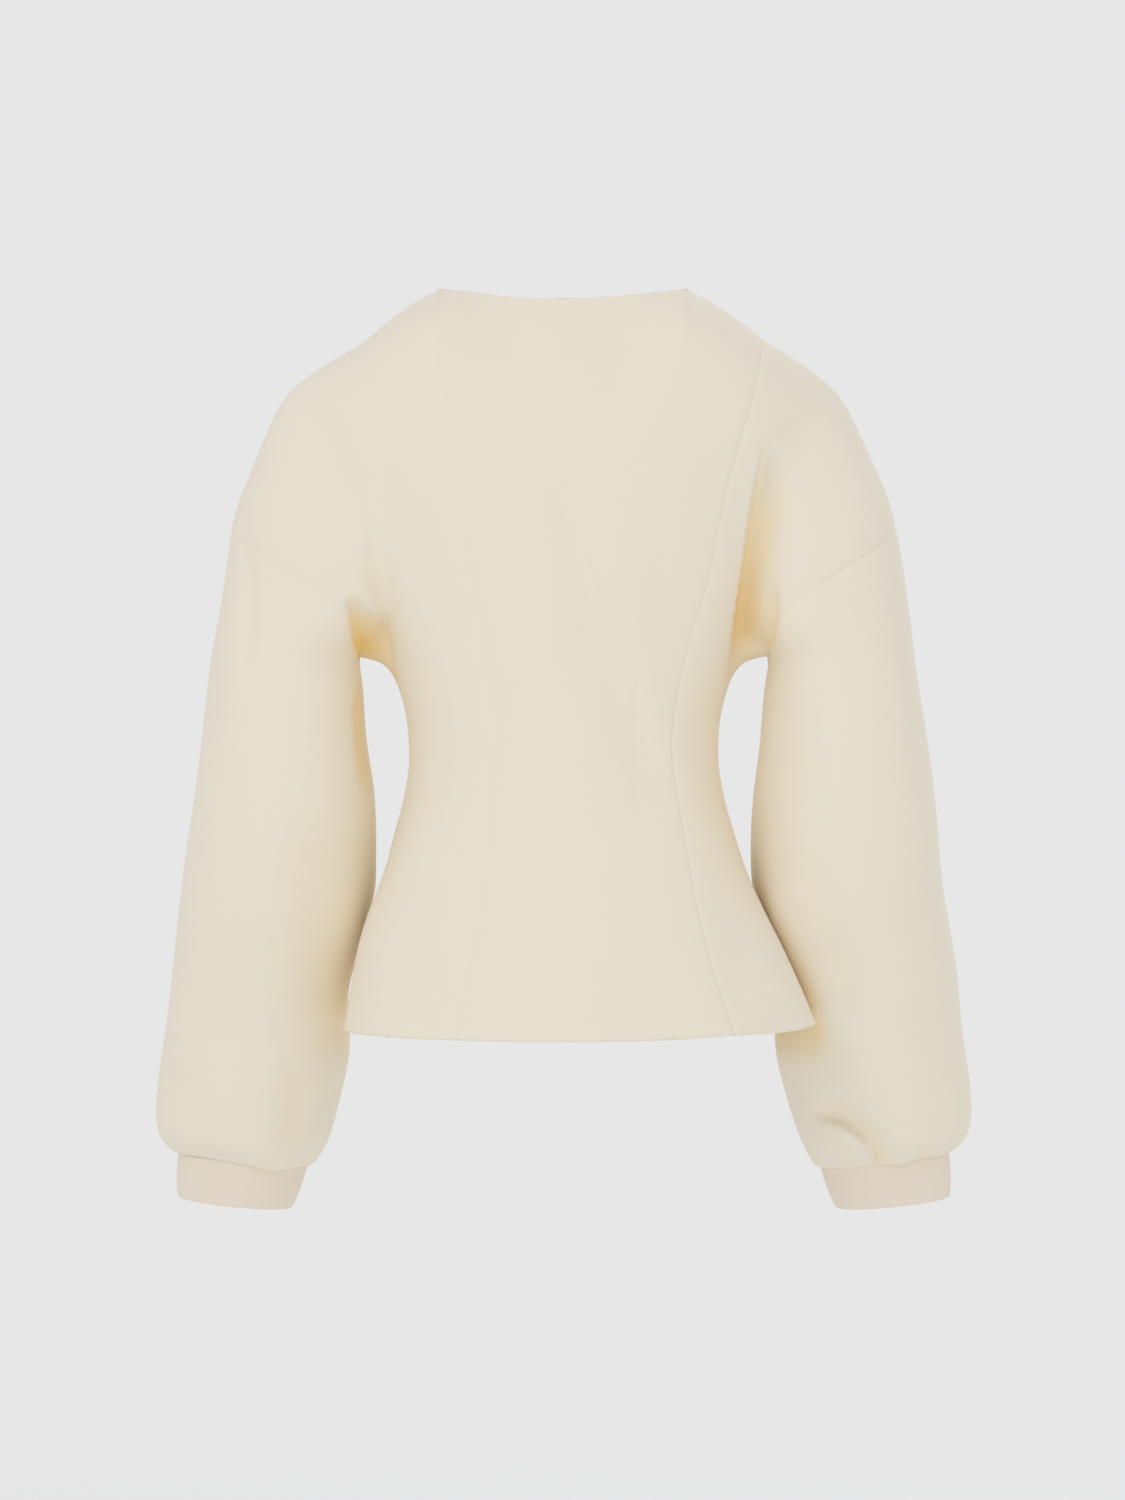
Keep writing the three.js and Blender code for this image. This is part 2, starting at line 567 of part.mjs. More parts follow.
// A closed wall from a set of outward squares: the outer skin, the inner skin, and a strip along every
// free edge.
function wallGeometry(squares, thickness, normals) {
  const ids = new Map();
  const points = [];
  const idOf = (point) => {
    const key = keyOf(point);
    if (!ids.has(key)) {
      ids.set(key, points.length);
      points.push(point);
    }
    return ids.get(key);
  };
  const faces = squares.map((corners) => corners.map(idOf));

  const edges = new Map();
  faces.forEach((face, f) => {
    face.forEach((from, k) => {
      const to = face[(k + 1) % 4];
      if (from === to) return;
      if (edges.has(`${to},${from}`)) edges.delete(`${to},${from}`);
      else edges.set(`${from},${to}`, { from, to, f });
    });
  });

  // Each free edge moves half a seam gap into its own piece.
  const pulls = points.map(() => []);
  for (const { from, to, f } of edges.values()) {
    const direction = points[to].clone().sub(points[from]).normalize();
    const centre = new THREE.Vector3();
    for (const corner of faces[f]) centre.addScaledVector(points[corner], 0.25);
    const inward = centre.sub(points[from]);
    inward.addScaledVector(direction, -inward.dot(direction)).normalize();
    pulls[from].push(inward);
    pulls[to].push(inward);
  }
  const outerSkin = points.map((point, i) => {
    if (!pulls[i].length) return point.clone();
    const sum = new THREE.Vector3();
    for (const pull of pulls[i]) sum.add(pull);
    const both = pulls[i].length > 1 ? 1 + pulls[i][0].dot(pulls[i][1]) : 1;
    return point.clone().addScaledVector(sum, SEAM_GAP / 2 / Math.max(both, MITRE_LIMIT));
  });
  const innerSkin = outerSkin.map((point, i) => {
    const normal = normals.get(keyOf(points[i]));
    return point.clone().addScaledVector(normal, -thickness);
  });

  const positions = [];
  const triangle = (a, b, c) => {
    if (a === b || b === c || a === c) return;
    for (const corner of [a, b, c]) positions.push(corner.x, corner.y, corner.z);
  };
  for (const [a, b, c, d] of faces) {
    // The shorter diagonal keeps a bent square smooth.
    const turned = outerSkin[b].distanceTo(outerSkin[d]) < outerSkin[a].distanceTo(outerSkin[c]);
    const [p, q, r, s] = turned ? [b, c, d, a] : [a, b, c, d];
    triangle(outerSkin[p], outerSkin[q], outerSkin[r]);
    triangle(outerSkin[p], outerSkin[r], outerSkin[s]);
    triangle(innerSkin[r], innerSkin[q], innerSkin[p]);
    triangle(innerSkin[s], innerSkin[r], innerSkin[p]);
  }
  for (const { from, to } of edges.values()) {
    // Both pieces of a seam split the strip along the same diagonal, so their twisted edges stay parallel.
    if (keyOf(points[from]) < keyOf(points[to])) {
      triangle(outerSkin[to], outerSkin[from], innerSkin[from]);
      triangle(outerSkin[to], innerSkin[from], innerSkin[to]);
    } else {
      triangle(outerSkin[to], outerSkin[from], innerSkin[to]);
      triangle(outerSkin[from], innerSkin[from], innerSkin[to]);
    }
  }
  const geometry = new THREE.BufferGeometry();
  geometry.setAttribute("position", new THREE.Float32BufferAttribute(positions, 3));
  geometry.computeVertexNormals();
  return geometry;
}

function cuffGeometry(side) {
  const grid = Array.from({ length: 2 * ARM_COLUMNS }, (_, j) => {
    const angle = (j / ARM_COLUMNS) * Math.PI;
    return CUFF.map(({ z }) => {
      const out = cuff.out(z) + cuff.half(z) * Math.cos(angle);
      const y = cuff.mid(z) + cuff.deep(z) * Math.sin(angle);
      return new THREE.Vector3(side === "left" ? out : -out, y, z + cuff.tilt(z) * Math.cos(angle));
    });
  });
  const piece = { grid, closed: true };
  piece.squares = squaresOf(piece);
  orient(piece);
  return wallGeometry(piece.squares, CUFF_CLOTH, gatherNormals([piece]));
}

// ---------------------------------------------------------------- hooks and eyes

// The front edge of the jacket at a height.
function frontEdge(z) {
  return z >= UNDERARM ? place("front", "left", 0, z) : torsoPoint("front", "left", 0, z);
}

// A bent wire, its points given from where the front edges meet at a height, on the cloth's inner side.
function wireGeometry(points, height) {
  const down = frontEdge(height - EDGE_STEP).sub(frontEdge(height + EDGE_STEP)).normalize();
  const inward = new THREE.Vector3(0, -down.z, down.y);
  const origin = frontEdge(height).addScaledVector(inward, CLOTH);
  const path = points.map(({ across, deep, up }) => {
    const point = origin.clone().addScaledVector(inward, deep).addScaledVector(down, -up);
    point.x += across;
    return point;
  });
  const section = new THREE.Shape();
  section.absarc(0, 0, WIRE, 0, 2 * Math.PI);
  return new THREE.ExtrudeGeometry(section, {
    extrudePath: new THREE.CatmullRomCurve3(path),
    steps: WIRE_STEPS,
    curveSegments: WIRE_SIDES / 2,
    bevelEnabled: false,
  });
}

// ---------------------------------------------------------------- the jacket

const knit = () => new THREE.MeshStandardMaterial({ color: 0xe9e3d3, roughness: 0.9, metalness: 0 });
const steel = () => new THREE.MeshStandardMaterial({ color: 0xb9babb, roughness: 0.35, metalness: 1 });

const jacket = new THREE.Group();
function add(name, geometry, material) {
  const mesh = new THREE.Mesh(geometry, material);
  mesh.name = name;
  jacket.add(mesh);
}

for (const { name, squares } of PIECES) add(name, wallGeometry(squares, CLOTH, foldedNormals), knit());
for (const side of ["left", "right"]) add(`cuff_${side}`, cuffGeometry(side), knit());
FASTENINGS.forEach((height, i) => {
  add(`eye_${i + 1}`, wireGeometry(EYE, height), steel());
  add(`hook_${i + 1}`, wireGeometry(HOOK, height), steel());
});

export default jacket;
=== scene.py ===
# %% [markdown]
# # A cropped jacket in cream double knit
# The jacket stands open and filled out, as it does when worn, with nobody in it. It is cut from eleven
# pieces of thick, smooth double knit: one back, two side backs, two side fronts, two fronts, two full
# sleeves and two cuffs. Four hooks and eyes close the front. This notebook makes the fine cloth around
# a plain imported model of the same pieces, which is loaded first.

# %% Load the frame
import math

import bpy
import numpy as np
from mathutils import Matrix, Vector


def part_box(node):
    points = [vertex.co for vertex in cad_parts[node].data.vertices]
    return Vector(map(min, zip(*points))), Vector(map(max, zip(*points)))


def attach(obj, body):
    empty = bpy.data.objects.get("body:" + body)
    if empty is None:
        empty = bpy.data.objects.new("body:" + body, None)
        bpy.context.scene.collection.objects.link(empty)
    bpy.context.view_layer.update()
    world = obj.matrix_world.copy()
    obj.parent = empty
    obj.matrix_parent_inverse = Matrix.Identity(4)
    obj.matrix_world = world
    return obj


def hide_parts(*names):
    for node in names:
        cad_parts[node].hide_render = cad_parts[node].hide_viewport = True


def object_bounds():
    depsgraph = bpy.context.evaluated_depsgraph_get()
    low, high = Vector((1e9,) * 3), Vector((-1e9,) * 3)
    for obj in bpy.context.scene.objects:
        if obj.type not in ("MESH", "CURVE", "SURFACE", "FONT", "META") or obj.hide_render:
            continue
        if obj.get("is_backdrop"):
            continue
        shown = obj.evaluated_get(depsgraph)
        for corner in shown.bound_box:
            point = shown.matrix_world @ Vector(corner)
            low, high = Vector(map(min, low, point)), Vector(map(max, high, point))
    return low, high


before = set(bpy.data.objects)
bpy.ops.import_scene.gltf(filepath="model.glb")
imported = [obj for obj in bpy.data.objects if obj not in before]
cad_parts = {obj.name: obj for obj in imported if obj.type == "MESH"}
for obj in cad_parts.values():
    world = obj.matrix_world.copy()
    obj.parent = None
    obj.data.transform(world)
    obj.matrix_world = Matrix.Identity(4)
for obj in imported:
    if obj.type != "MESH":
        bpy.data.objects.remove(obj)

cad_box = [list(corner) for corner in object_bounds()]
print("packed model from", cad_box[0], "to", cad_box[1])

# %% [markdown]
# ## How a worn garment can be modelled
# A cloth simulation drapes loose cloth well, but this knit is thick and holds the shape that its seams
# give it, so its form is better written down: rounded sections at each height, joined by smooth curves,
# with the folds pressed in afterwards. The same rule then gives every piece its own patch, and pieces
# that are sewn together share the very same points along their seam.
# The sizes below are millimetres. Heights are measured down from the shoulders, and "out" is the
# distance from the centre line, the same on both sides.

# %% Small helpers
MM = 0.001


def mix(a, b, t):
    return a + (b - a) * t


def smooth(t):
    t = np.clip(t, 0, 1)
    return t * t * (3 - 2 * t)


def table(names, *rows):
    """Rows of numbers under named columns, sorted by the first column."""
    return dict(zip(names.split(), np.array(sorted(rows), float).T))


def curve(rows, column):
    """A smooth curve through one column of a table, by height, that never overshoots its rows."""
    xs, ys = rows["z"], rows[column]
    slopes = np.diff(ys) / np.diff(xs)
    product = slopes[:-1] * slopes[1:]
    total = np.where(product > 0, slopes[:-1] + slopes[1:], 1)
    tangents = np.concatenate([slopes[:1], np.where(product > 0, 2 * product / total, 0), slopes[-1:]])

    def at(x):
        x = np.clip(np.asarray(x, float), xs[0], xs[-1])
        i = np.clip(np.searchsorted(xs, x, side="right") - 1, 0, len(xs) - 2)
        step = xs[i + 1] - xs[i]
        t = (x - xs[i]) / step
        ends = ys[i] * (1 + 2 * t) * (1 - t) ** 2 + ys[i + 1] * (3 - 2 * t) * t**2
        return ends + step * (tangents[i] * t * (1 - t) ** 2 - tangents[i + 1] * (1 - t) * t**2)

    return at


def crossing(measure, high, low):
    """The height where a falling measure crosses zero, for a whole array at once."""
    high, low = np.array(high, float), np.array(low, float)
    for _ in range(40):
        middle = (high + low) / 2
        above = measure(middle) > 0
        high, low = np.where(above, middle, high), np.where(above, low, middle)
    return (high + low) / 2


# %% The driving sizes of the jacket
CLOTH = 2.0  # wall of the double knit
NECK_HALF = 94.0
NECK = {
    "back": dict(drop=13, reach=62, dip=2.4, square=1.0, plan=2.6, ease=100),
    "front": dict(drop=78, reach=84, dip=2.5, square=0.8, plan=2.4, ease=90),
}
PRINCESS_TOP = 148.0
VALLEY_TOP = 162.0
SHOULDER_POINT = 205.0
ARMHOLE_TOP = -176.0
UNDERARM = -276.0
SLEEVE_END = -662.0
HEM = -554.0
HEM_RISE = {"left": 1, "right": 5}  # how much higher the flared hem stands at each side seam
ARMHOLE_BOW = 1.3
VALLEY_SOFT = 22.0
VALLEY_SHARPENS = 150.0
WEB_TORSO, WEB_ARM, WEB_SOFT = 12.0, 30.0, 8.0
FALL_OFF = 30.0
NECK_BLEND = 0.45
SOFTENS_OVER = 30.0
CUFF_TILT = 5.5
TILT_STARTS = -450.0

# %% Sections at each height
OUTER = table(
    "z out",
    (0, 94), (-2, 101), (-5, 106.5), (-20, 127), (-36, 148.5), (-52, 173), (-66, 194), (-76, 205.5),
    (-91, 215), (-112, 223.5), (-131, 231.5), (-156, 243), (-176, 249), (-240, 257.5), (-320, 269.5),
    (-440, 288), (-502, 297.5), (-564, 307), (-606, 312), (-632, 314), (-649, 312), (-657, 305),
    (-662, 297.5),
)
ARM = table(
    "z inner back mid front",
    (0, 4, 50, 0, -50),
    (-50, 67, 50, 0, -50),
    (-100, 96, 50, 0, -50),
    (-150, 104, 55, 0, -54),
    (-200, 112, 60, 0, -59),
    (-245, 121, 61, 0, -61),
    (-262, 136, 60.5, 0, -61.5),
    (-276, 153.5, 60, 0, -62),
    (-281, 153, 60, 0, -62),
    (-292, 151, 60, -1, -63),
    (-337, 147.5, 60, -5, -68),
    (-382, 142.5, 57, -11, -76),
    (-440, 141, 45, -25, -92),
    (-470, 147, 34, -36, -103),
    (-502, 157, 20, -49, -116),
    (-533, 163, 7, -61, -127),
    (-564, 164, -6, -72, -137),
    (-606, 172, -19, -82, -143),
    (-632, 179, -27, -86, -144),
    (-649, 186, -34, -89, -141),
    (-657, 194, -45, -90, -134),
    (-662, 199, -53, -91, -129),
)
TORSO = table(
    "z left right back seam front square",
    (0, 270, 270, 82, 0, -78, 2.2),
    (-60, 224, 224, 92, 0, -90, 2.2),
    (-110, 190, 190, 98, 0, -104, 2.2),
    (-160, 164, 164, 101, 0, -119, 2.2),
    (-205, 149, 149, 98, 0, -128, 2.2),
    (-245, 137, 137, 94, 0, -122, 2.2),
    (-276, 127.5, 127.5, 90, 0, -112, 2.15),
    (-307, 119.5, 119.5, 87, 0, -102, 2.1),
    (-326, 116, 116, 86, 0, -97, 2.1),
    (-350, 115.5, 115.5, 86, 0, -94, 2.1),
    (-382, 120.5, 120.5, 90, 2, -96, 2.05),
    (-406, 127.5, 127.5, 95, 4, -99, 2.05),
    (-440, 136.5, 137, 104, 7, -104, 2),
    (-470, 147, 149, 112, 9, -109, 1.95),
    (-500, 155, 164, 119, 12, -114, 1.9),
    (-530, 161, 178, 125, 15, -118, 1.9),
    (-556, 166, 188, 130, 18, -121, 1.9),
)
WEB = table("z out", (-276, 153.5), (-276.7, 147), (-277.8, 141), (-280.5, 134.5), (-285, 129.5), (-293, 125),
            (-307, 120), (-326, 116))
SEAMS = table(
    "z back front valley",
    (-38, 148, 148, 162),
    (-58, 145.5, 145, 161.5),
    (-81, 140, 135, 157),
    (-105, 133, 123, 152),
    (-143, 122.5, 106, 147),
    (-184, 113.5, 95, 143.5),
    (-228, 104, 88, 141.5),
    (-250, 97, 85.5, 143),
    (-264, 93, 84, 147),
    (-276, 90, 82, 153.5),
    (-304, 83.5, 76, 153.5),
    (-341, 80, 72, 153.5),
    (-381, 84, 75, 153.5),
    (-434, 93, 84, 153.5),
    (-482, 103, 94, 153.5),
    (-530, 116.5, 106, 153.5),
    (-556, 124, 113, 153.5),
)
CREASE = table(
    "z left right",
    (-100, 147, 146.5),
    (-118, 144.5, 145),
    (-142, 142, 142),
    (-168, 139.5, 138),
    (-205, 136.5, 133),
    (-236, 134, 129.5),
    (-256, 131.5, 127.2),
    (-272, 129, 125),
    (-288, 125.8, 123.2),
    (-300, 121.3, 121),
)
outer = curve(OUTER, "out")
web = curve(WEB, "out")
arm = {name: curve(ARM, name) for name in ("inner", "back", "mid", "front")}
torso = {name: curve(TORSO, name) for name in ("left", "right", "back", "seam", "front", "square")}
seam_line = {name: curve(SEAMS, name) for name in ("back", "front", "valley")}
crease_line = {side: curve(CREASE, side) for side in ("left", "right")}
WEB_END_Z, WEB_END_OUT, WEB_TOP_OUT = WEB["z"][0], WEB["out"][0], WEB["out"][-1]

# %% [markdown]
# ## The skin
# Every horizontal cut through the jacket joins two rounded forms: the torso, a squarish ellipse, and the
# arm. Where they meet there is a valley, soft at the shoulder and sharp at the underarm, and near the
# shoulder seam and the neckline the cloth leans in. `reach` gives how far the cloth stands from the
# middle plane at any place of the back or the front, so each piece only has to say where it looks.

# %% The skin as a rule
def ridge(out):
    """Height of the shoulder seam, or of the outside of the arm, at a distance out."""
    return crossing(lambda z: out - outer(z), np.zeros_like(out), np.full_like(out, UNDERARM - 10))


def top_edge(face, out):
    """Height of the neckline, or of the ridge beyond the neck point."""
    neck = NECK[face]
    share = np.clip(out / NECK_HALF, 0, 1)
    neckline = -neck["drop"] * (1 - share ** neck["dip"]) ** neck["square"]
    return np.where(out >= NECK_HALF, ridge(out), neckline)


FAR_OUT = np.arange(0, 330, 0.5)
ROUNDING = 41  # samples over which the neck point's peak is rounded inside the cloth
top_softening = {}
for face in NECK:
    exact = top_edge(face, FAR_OUT)
    padded = np.pad(exact, ROUNDING // 2, mode="edge")
    padded[:ROUNDING // 2] = exact[ROUNDING // 2:0:-1]
    top_softening[face] = np.convolve(padded, np.full(ROUNDING, 1 / ROUNDING), mode="valid") - exact
    top_softening[face][FAR_OUT > SHOULDER_POINT] = 0


def blend(a, b, soft):
    """The larger of two heights, rounded where they cross."""
    return (a + b + np.hypot(a - b, soft)) / 2


def side_line(side, z):
    """The side seam's distance out below the underarm."""
    return np.where(z < WEB_END_Z, torso[side](z), web(z))


def torso_reach(face, side, out, z):
    sign = 1 if face == "back" else -1
    seam, square = torso["seam"](z) * sign, torso["square"](z)
    around = (out / torso[side](z)) ** square
    deep = torso[face](z) * sign - seam
    inside = seam + deep * np.clip(1 - around, 0, 1) ** (1 / square)
    ring = np.where(around < 1, inside, seam - FALL_OFF * (around - 1))
    on_web = (z > WEB_END_Z) & (out > WEB_END_OUT)
    lowest = crossing(lambda h: web(h) - out, np.full_like(out, UNDERARM), np.full_like(out, WEB_END_Z))
    round_ = mix(WEB_TORSO, WEB_ARM, np.clip((out - WEB_END_OUT) / (WEB_TOP_OUT - WEB_END_OUT), 0, 1))
    lift = np.sqrt(1 - (1 - np.clip((z - lowest) / round_, 0, 1)) ** 2) * round_
    return np.where(on_web, blend(ring, lift, np.minimum(WEB_SOFT, lift)), ring)


def reach(face, side, out, z):
    sign = 1 if face == "back" else -1
    centre, half = (outer(z) + arm["inner"](z)) / 2, (outer(z) - arm["inner"](z)) / 2
    middle = arm["mid"](z) * sign
    inward = np.maximum(0, (centre - out) / half)
    round_arm = (arm[face](z) * sign - middle) * np.sqrt(np.clip(1 - inward**2, 0, 1))
    arm_reach = middle + np.where(inward < 1, round_arm, -FALL_OFF * (inward - 1))
    soft = VALLEY_SOFT * np.clip((z - UNDERARM) / VALLEY_SHARPENS, 0, 1)
    full = blend(torso_reach(face, side, out, z), arm_reach, soft)
    across, above = outer(z) - out, top_edge(face, out) - z
    above = above + np.interp(out, FAR_OUT, top_softening[face]) * smooth(above / SOFTENS_OVER)
    inside = (across > 0) & (above > 0)
    distance = np.where(inside, across * above / np.where(inside, np.hypot(across, above), 1), 0)
    shoulder = smooth((out / NECK_HALF - NECK_BLEND) / (1 - NECK_BLEND))
    left = 1 - np.minimum(1, distance / mix(NECK[face]["ease"], half, shoulder))
    lift = mix(1 - left**2, np.sqrt(1 - left**2), shoulder)
    plan = NECK[face]["plan"]
    rim = NECK[face]["reach"] * (1 - np.clip(out / NECK_HALF, 0, 1) ** plan) ** (1 / plan)
    return sign * mix(np.where(out < NECK_HALF, rim, middle), full, lift)


def stack(side, out, y, z):
    return np.stack(np.broadcast_arrays(out if side == "left" else -out, y, z), axis=-1)


def place(face, side, out, z):
    """Points of the skin above the underarm."""
    return stack(side, out, reach(face, side, out, z), z)


def torso_point(face, side, out, z):
    """Points of the torso below the underarm, where the arm no longer touches it."""
    sign = 1 if face == "back" else -1
    on_seam = out > side_line(side, z) - 0.001
    return stack(side, out, np.where(on_seam, torso["seam"](z), sign * torso_reach(face, side, out, z)), z)


def armhole_height(turn):
    """Height of the armhole seam at a turn round the arm: 0 on the outside, 1 at the underarm."""
    return mix(ARMHOLE_TOP, UNDERARM, turn**ARMHOLE_BOW)


def arm_place(turn, z):
    inner = np.where(z > UNDERARM, seam_line["valley"](z), arm["inner"](z))
    centre = (outer(z) + inner) / 2
    return centre + (outer(z) - centre) * np.cos(turn * math.pi)


# %% [markdown]
# ## Fine grids
# A piece is laid out as columns of points, like the wales of the knit. Near a seam the columns and rows
# stand half a millimetre apart, so that the cloth can roll into the seam, and they grow to about three
# millimetres in the open, which is enough for smooth shading without a heavy mesh.

# %% Steps that grow away from a seam
COARSE = 3.0
GROWTH = 1.4


def steps(length, first=COARSE, last=COARSE, coarse=COARSE):
    """Fractions along a length, in steps that grow from fine ones at its ends."""
    head, tail = [], []
    for size, run in ((first, head), (last, tail)):
        while size < coarse:
            run.append(size)
            size *= GROWTH
    rest = length - sum(head) - sum(tail)
    count = max(1, round(rest / coarse))
    sizes = head + [rest / count] * count + tail[::-1]
    return np.concatenate([[0], np.cumsum(sizes) / sum(sizes)])


YOKE = steps(276, first=0.6, last=0.35)
SKIRT = mix(UNDERARM, HEM, steps(278, first=0.35, last=0.8))[1:]
ARM_STEPS = steps(195, first=2.0, last=1.0, coarse=3.2)
SLEEVE_STEPS = steps(470, first=0.6, last=0.8)
CREASE_FROM = -66.0  # height from which the columns swing over to the crease
CREASE_FROM_OVER = 40  # mm over which the columns bend towards the crease, below where it starts
CREASE_SHARES = (0.3, 0.97)  # the crease's column stays between these shares of the strip's width
CREASE_PAST, CREASE_PAST_OVER = 20, 30  # from this far above its end, over these mm, they let go of it
CREASE_SHARE = 0.8  # of the strip's width from the princess seam to the crease
STRIP = np.concatenate([
    steps(38, first=0.5, last=0.45, coarse=2.2) * CREASE_SHARE,
    mix(CREASE_SHARE, 1, steps(12, first=0.45, last=0.7, coarse=1.6))[1:],
])
CENTRE = np.concatenate([
    steps(NECK_HALF, first=0.8, last=1.0) * NECK_HALF,
    NECK_HALF + (PRINCESS_TOP - NECK_HALF) * steps(PRINCESS_TOP - NECK_HALF, first=1.0, last=0.5)[1:],
])
print(len(YOKE), "rows above the underarm,", len(SKIRT), "below,", 2 * len(ARM_STEPS) - 2, "round a sleeve")


# %% A grid and what is known along it
def grid(points, seams):
    """Points by column and row, with the cloth's own across and along in mm, and how far each point
    lies from each seam that the grid ends on."""
    across = np.zeros(points.shape[:2])
    across[1:] = np.cumsum(np.linalg.norm(np.diff(points, axis=0), axis=2), axis=0)
    along = np.zeros(points.shape[:2])
    along[:, 1:] = np.cumsum(np.linalg.norm(np.diff(points, axis=1), axis=2), axis=1)
    ends = {
        "first_column": across,
        "last_column": across[-1:] - across,
        "first_row": along,
        "last_row": along[:, -1:] - along,
    }
    far = np.full(points.shape[:2], 1e3)
    near = {}
    for name, end, where in seams:
        near[name] = np.minimum(near.get(name, far), np.where(where, ends[end], far))
    return dict(points=points, across=across, along=along, near=near, ends=ends, seams=seams)


EASE_OVER = 0.6  # as a share of the way down to the underarm


def yoke_columns(face, side, starts, at):
    """Columns from the top edge down to the underarm."""
    top = top_edge(face, starts)
    heights = mix(top[:, None], UNDERARM, YOKE[None])
    out = at(heights)
    # A column starts where its top edge has it and eases over to its own line on the way down. A jump
    # between the first two rows would put the second above the neckline and fold the cloth over.
    shift = np.where(starts < PRINCESS_TOP - 0.01, starts - out[:, 0], 0)
    out = out + shift[:, None] * (1 - smooth(YOKE[None] / EASE_OVER))
    out[:, 0] = starts
    points = place(face, side, out, heights)
    points[starts >= NECK_HALF - 0.01, 0, 1] = 0
    return points


def skirt_columns(face, side, at):
    """The same columns carried on down to the hem, which rises a little towards the side seams."""
    heights = SKIRT[None]
    out = at(heights)
    points = torso_point(face, side, out, np.broadcast_to(heights, out.shape))
    low = (UNDERARM - heights) / (UNDERARM - HEM)
    points[..., 2] += HEM_RISE[side] * (low * out / side_line(side, heights)) ** 2
    return points


def cap_columns(face, side, valley_column):
    """The shoulder cap, between the valley, the ridge, the outside of the arm and the armhole. It is
    laid out by height and by distance from the valley, so that no column can cross the valley."""
    s, v = ARM_STEPS[:, None], YOKE[None]
    valley = seam_line["valley"]
    top_out = mix(VALLEY_TOP, SHOULDER_POINT, s)
    bottom_z = armhole_height(1 - s)
    outside_z = mix(ridge(top_out[-1:]), ARMHOLE_TOP, v)
    edges = [
        # inner end, outer end, top and bottom, of the distances and then of the heights
        (0 * v, outer(outside_z) - valley(outside_z),
         top_out - valley(ridge(top_out)), arm_place(1 - s, bottom_z) - valley(bottom_z)),
        (valley_column[None, :, 2], outside_z, ridge(top_out), bottom_z),
    ]
    away, z = (
        mix(first, last, s) + mix(top, bottom, v) - mix(mix(first[:, :1], last[:, :1], s),
                                                        mix(first[:, -1:], last[:, -1:], s), v)
        for first, last, top, bottom in edges
    )
    points = place(face, side, np.minimum(valley(z) + away, outer(z)), z)
    points[-1, :, 1] = points[:, 0, 1] = 0
    points[0] = valley_column
    return points


# %% The grids of each cut piece
ALL = True


def centre_grid(face, side):
    share = CENTRE / PRINCESS_TOP
    line = seam_line[face]
    upper = yoke_columns(face, side, CENTRE, lambda z: share[:, None] * line(z))
    lower = skirt_columns(face, side, lambda z: share[:, None] * line(z))
    on_neck = (CENTRE < NECK_HALF)[:, None]
    seams = [
        ("princess", "last_column", ALL),
        ("neck", "first_row", on_neck),
        ("shoulder", "first_row", ~on_neck),
        ("hem", "last_row", ALL),
    ]
    if face == "front":
        seams.append(("edge", "first_column", ALL))
    return grid(np.concatenate([upper, lower], axis=1), seams)


def side_grids(face, side):
    even = STRIP[:, None]
    close = np.sin(even * math.pi / 2)
    line = seam_line[face]
    starts = mix(PRINCESS_TOP, VALLEY_TOP, STRIP)

    def beside_crease(z, end):
        """Shares of the strip's width at a height, so that one column runs exactly along the crease."""
        at = np.clip(z, CREASE["z"][0], CREASE["z"][-1])
        wide = seam_line["valley"](at) if end == "valley" else side_line(side, at)
        target = np.clip((crease_line[side](at) - line(at)) / (wide - line(at)), *CREASE_SHARES)
        ease = CREASE_SHARE * (1 - target) / (target * (1 - CREASE_SHARE))
        ease = mix(1, ease, smooth((CREASE_FROM - z) / CREASE_FROM_OVER))
        return even / (even + ease * (1 - even))

    def upper_out(z):
        return mix(line(z), seam_line["valley"](z), beside_crease(z, "valley"))

    def lower_out(z):
        past = smooth((CREASE["z"][0] + CREASE_PAST - z) / CREASE_PAST_OVER)
        share = mix(beside_crease(z, "side"), close, past)
        return mix(line(z), side_line(side, z), share)

    upper = yoke_columns(face, side, starts, upper_out)
    lower = skirt_columns(face, side, lower_out)
    strip = np.concatenate([upper, lower], axis=1)
    below = np.arange(strip.shape[1])[None] >= upper.shape[1] - 1
    seams = [
        ("princess", "first_column", ALL),
        ("side", "last_column", below),
        ("shoulder", "first_row", ALL),
        ("hem", "last_row", ALL),
    ]
    cap = cap_columns(face, side, upper[-1])
    cap_seams = [
        ("shoulder", "first_row", ALL),
        ("shoulder", "last_column", ALL),
        ("armhole", "last_row", ALL),
    ]
    return [grid(strip, seams), grid(cap, cap_seams)]


def sleeve_grid(side):
    """From the underarm seam over the back of the arm, and home by the front."""
    halves = []
    for face in ("back", "front"):
        turn = 1 - ARM_STEPS[:, None]
        z = mix(armhole_height(turn), SLEEVE_END, SLEEVE_STEPS[None])
        turn = np.broadcast_to(turn, z.shape)
        out = arm_place(turn, z)
        upper = reach(face, side, out, np.maximum(z, UNDERARM))
        lower = mix(arm["mid"](z), arm[face](z), np.sin(turn * math.pi))
        tilt = CUFF_TILT * smooth((TILT_STARTS - z) / (TILT_STARTS - SLEEVE_END)) * np.cos(turn * math.pi)
        halves.append(stack(side, out, np.where(z >= UNDERARM, upper, lower), z + tilt))
    points = np.concatenate([halves[0], halves[1][-2::-1]], axis=0)
    points[-1] = points[0]
    return grid(points, [
        ("armhole", "first_row", ALL),
        ("cuff", "last_row", ALL),
        ("underarm", "first_column", ALL),
        ("underarm", "last_column", ALL),
    ])


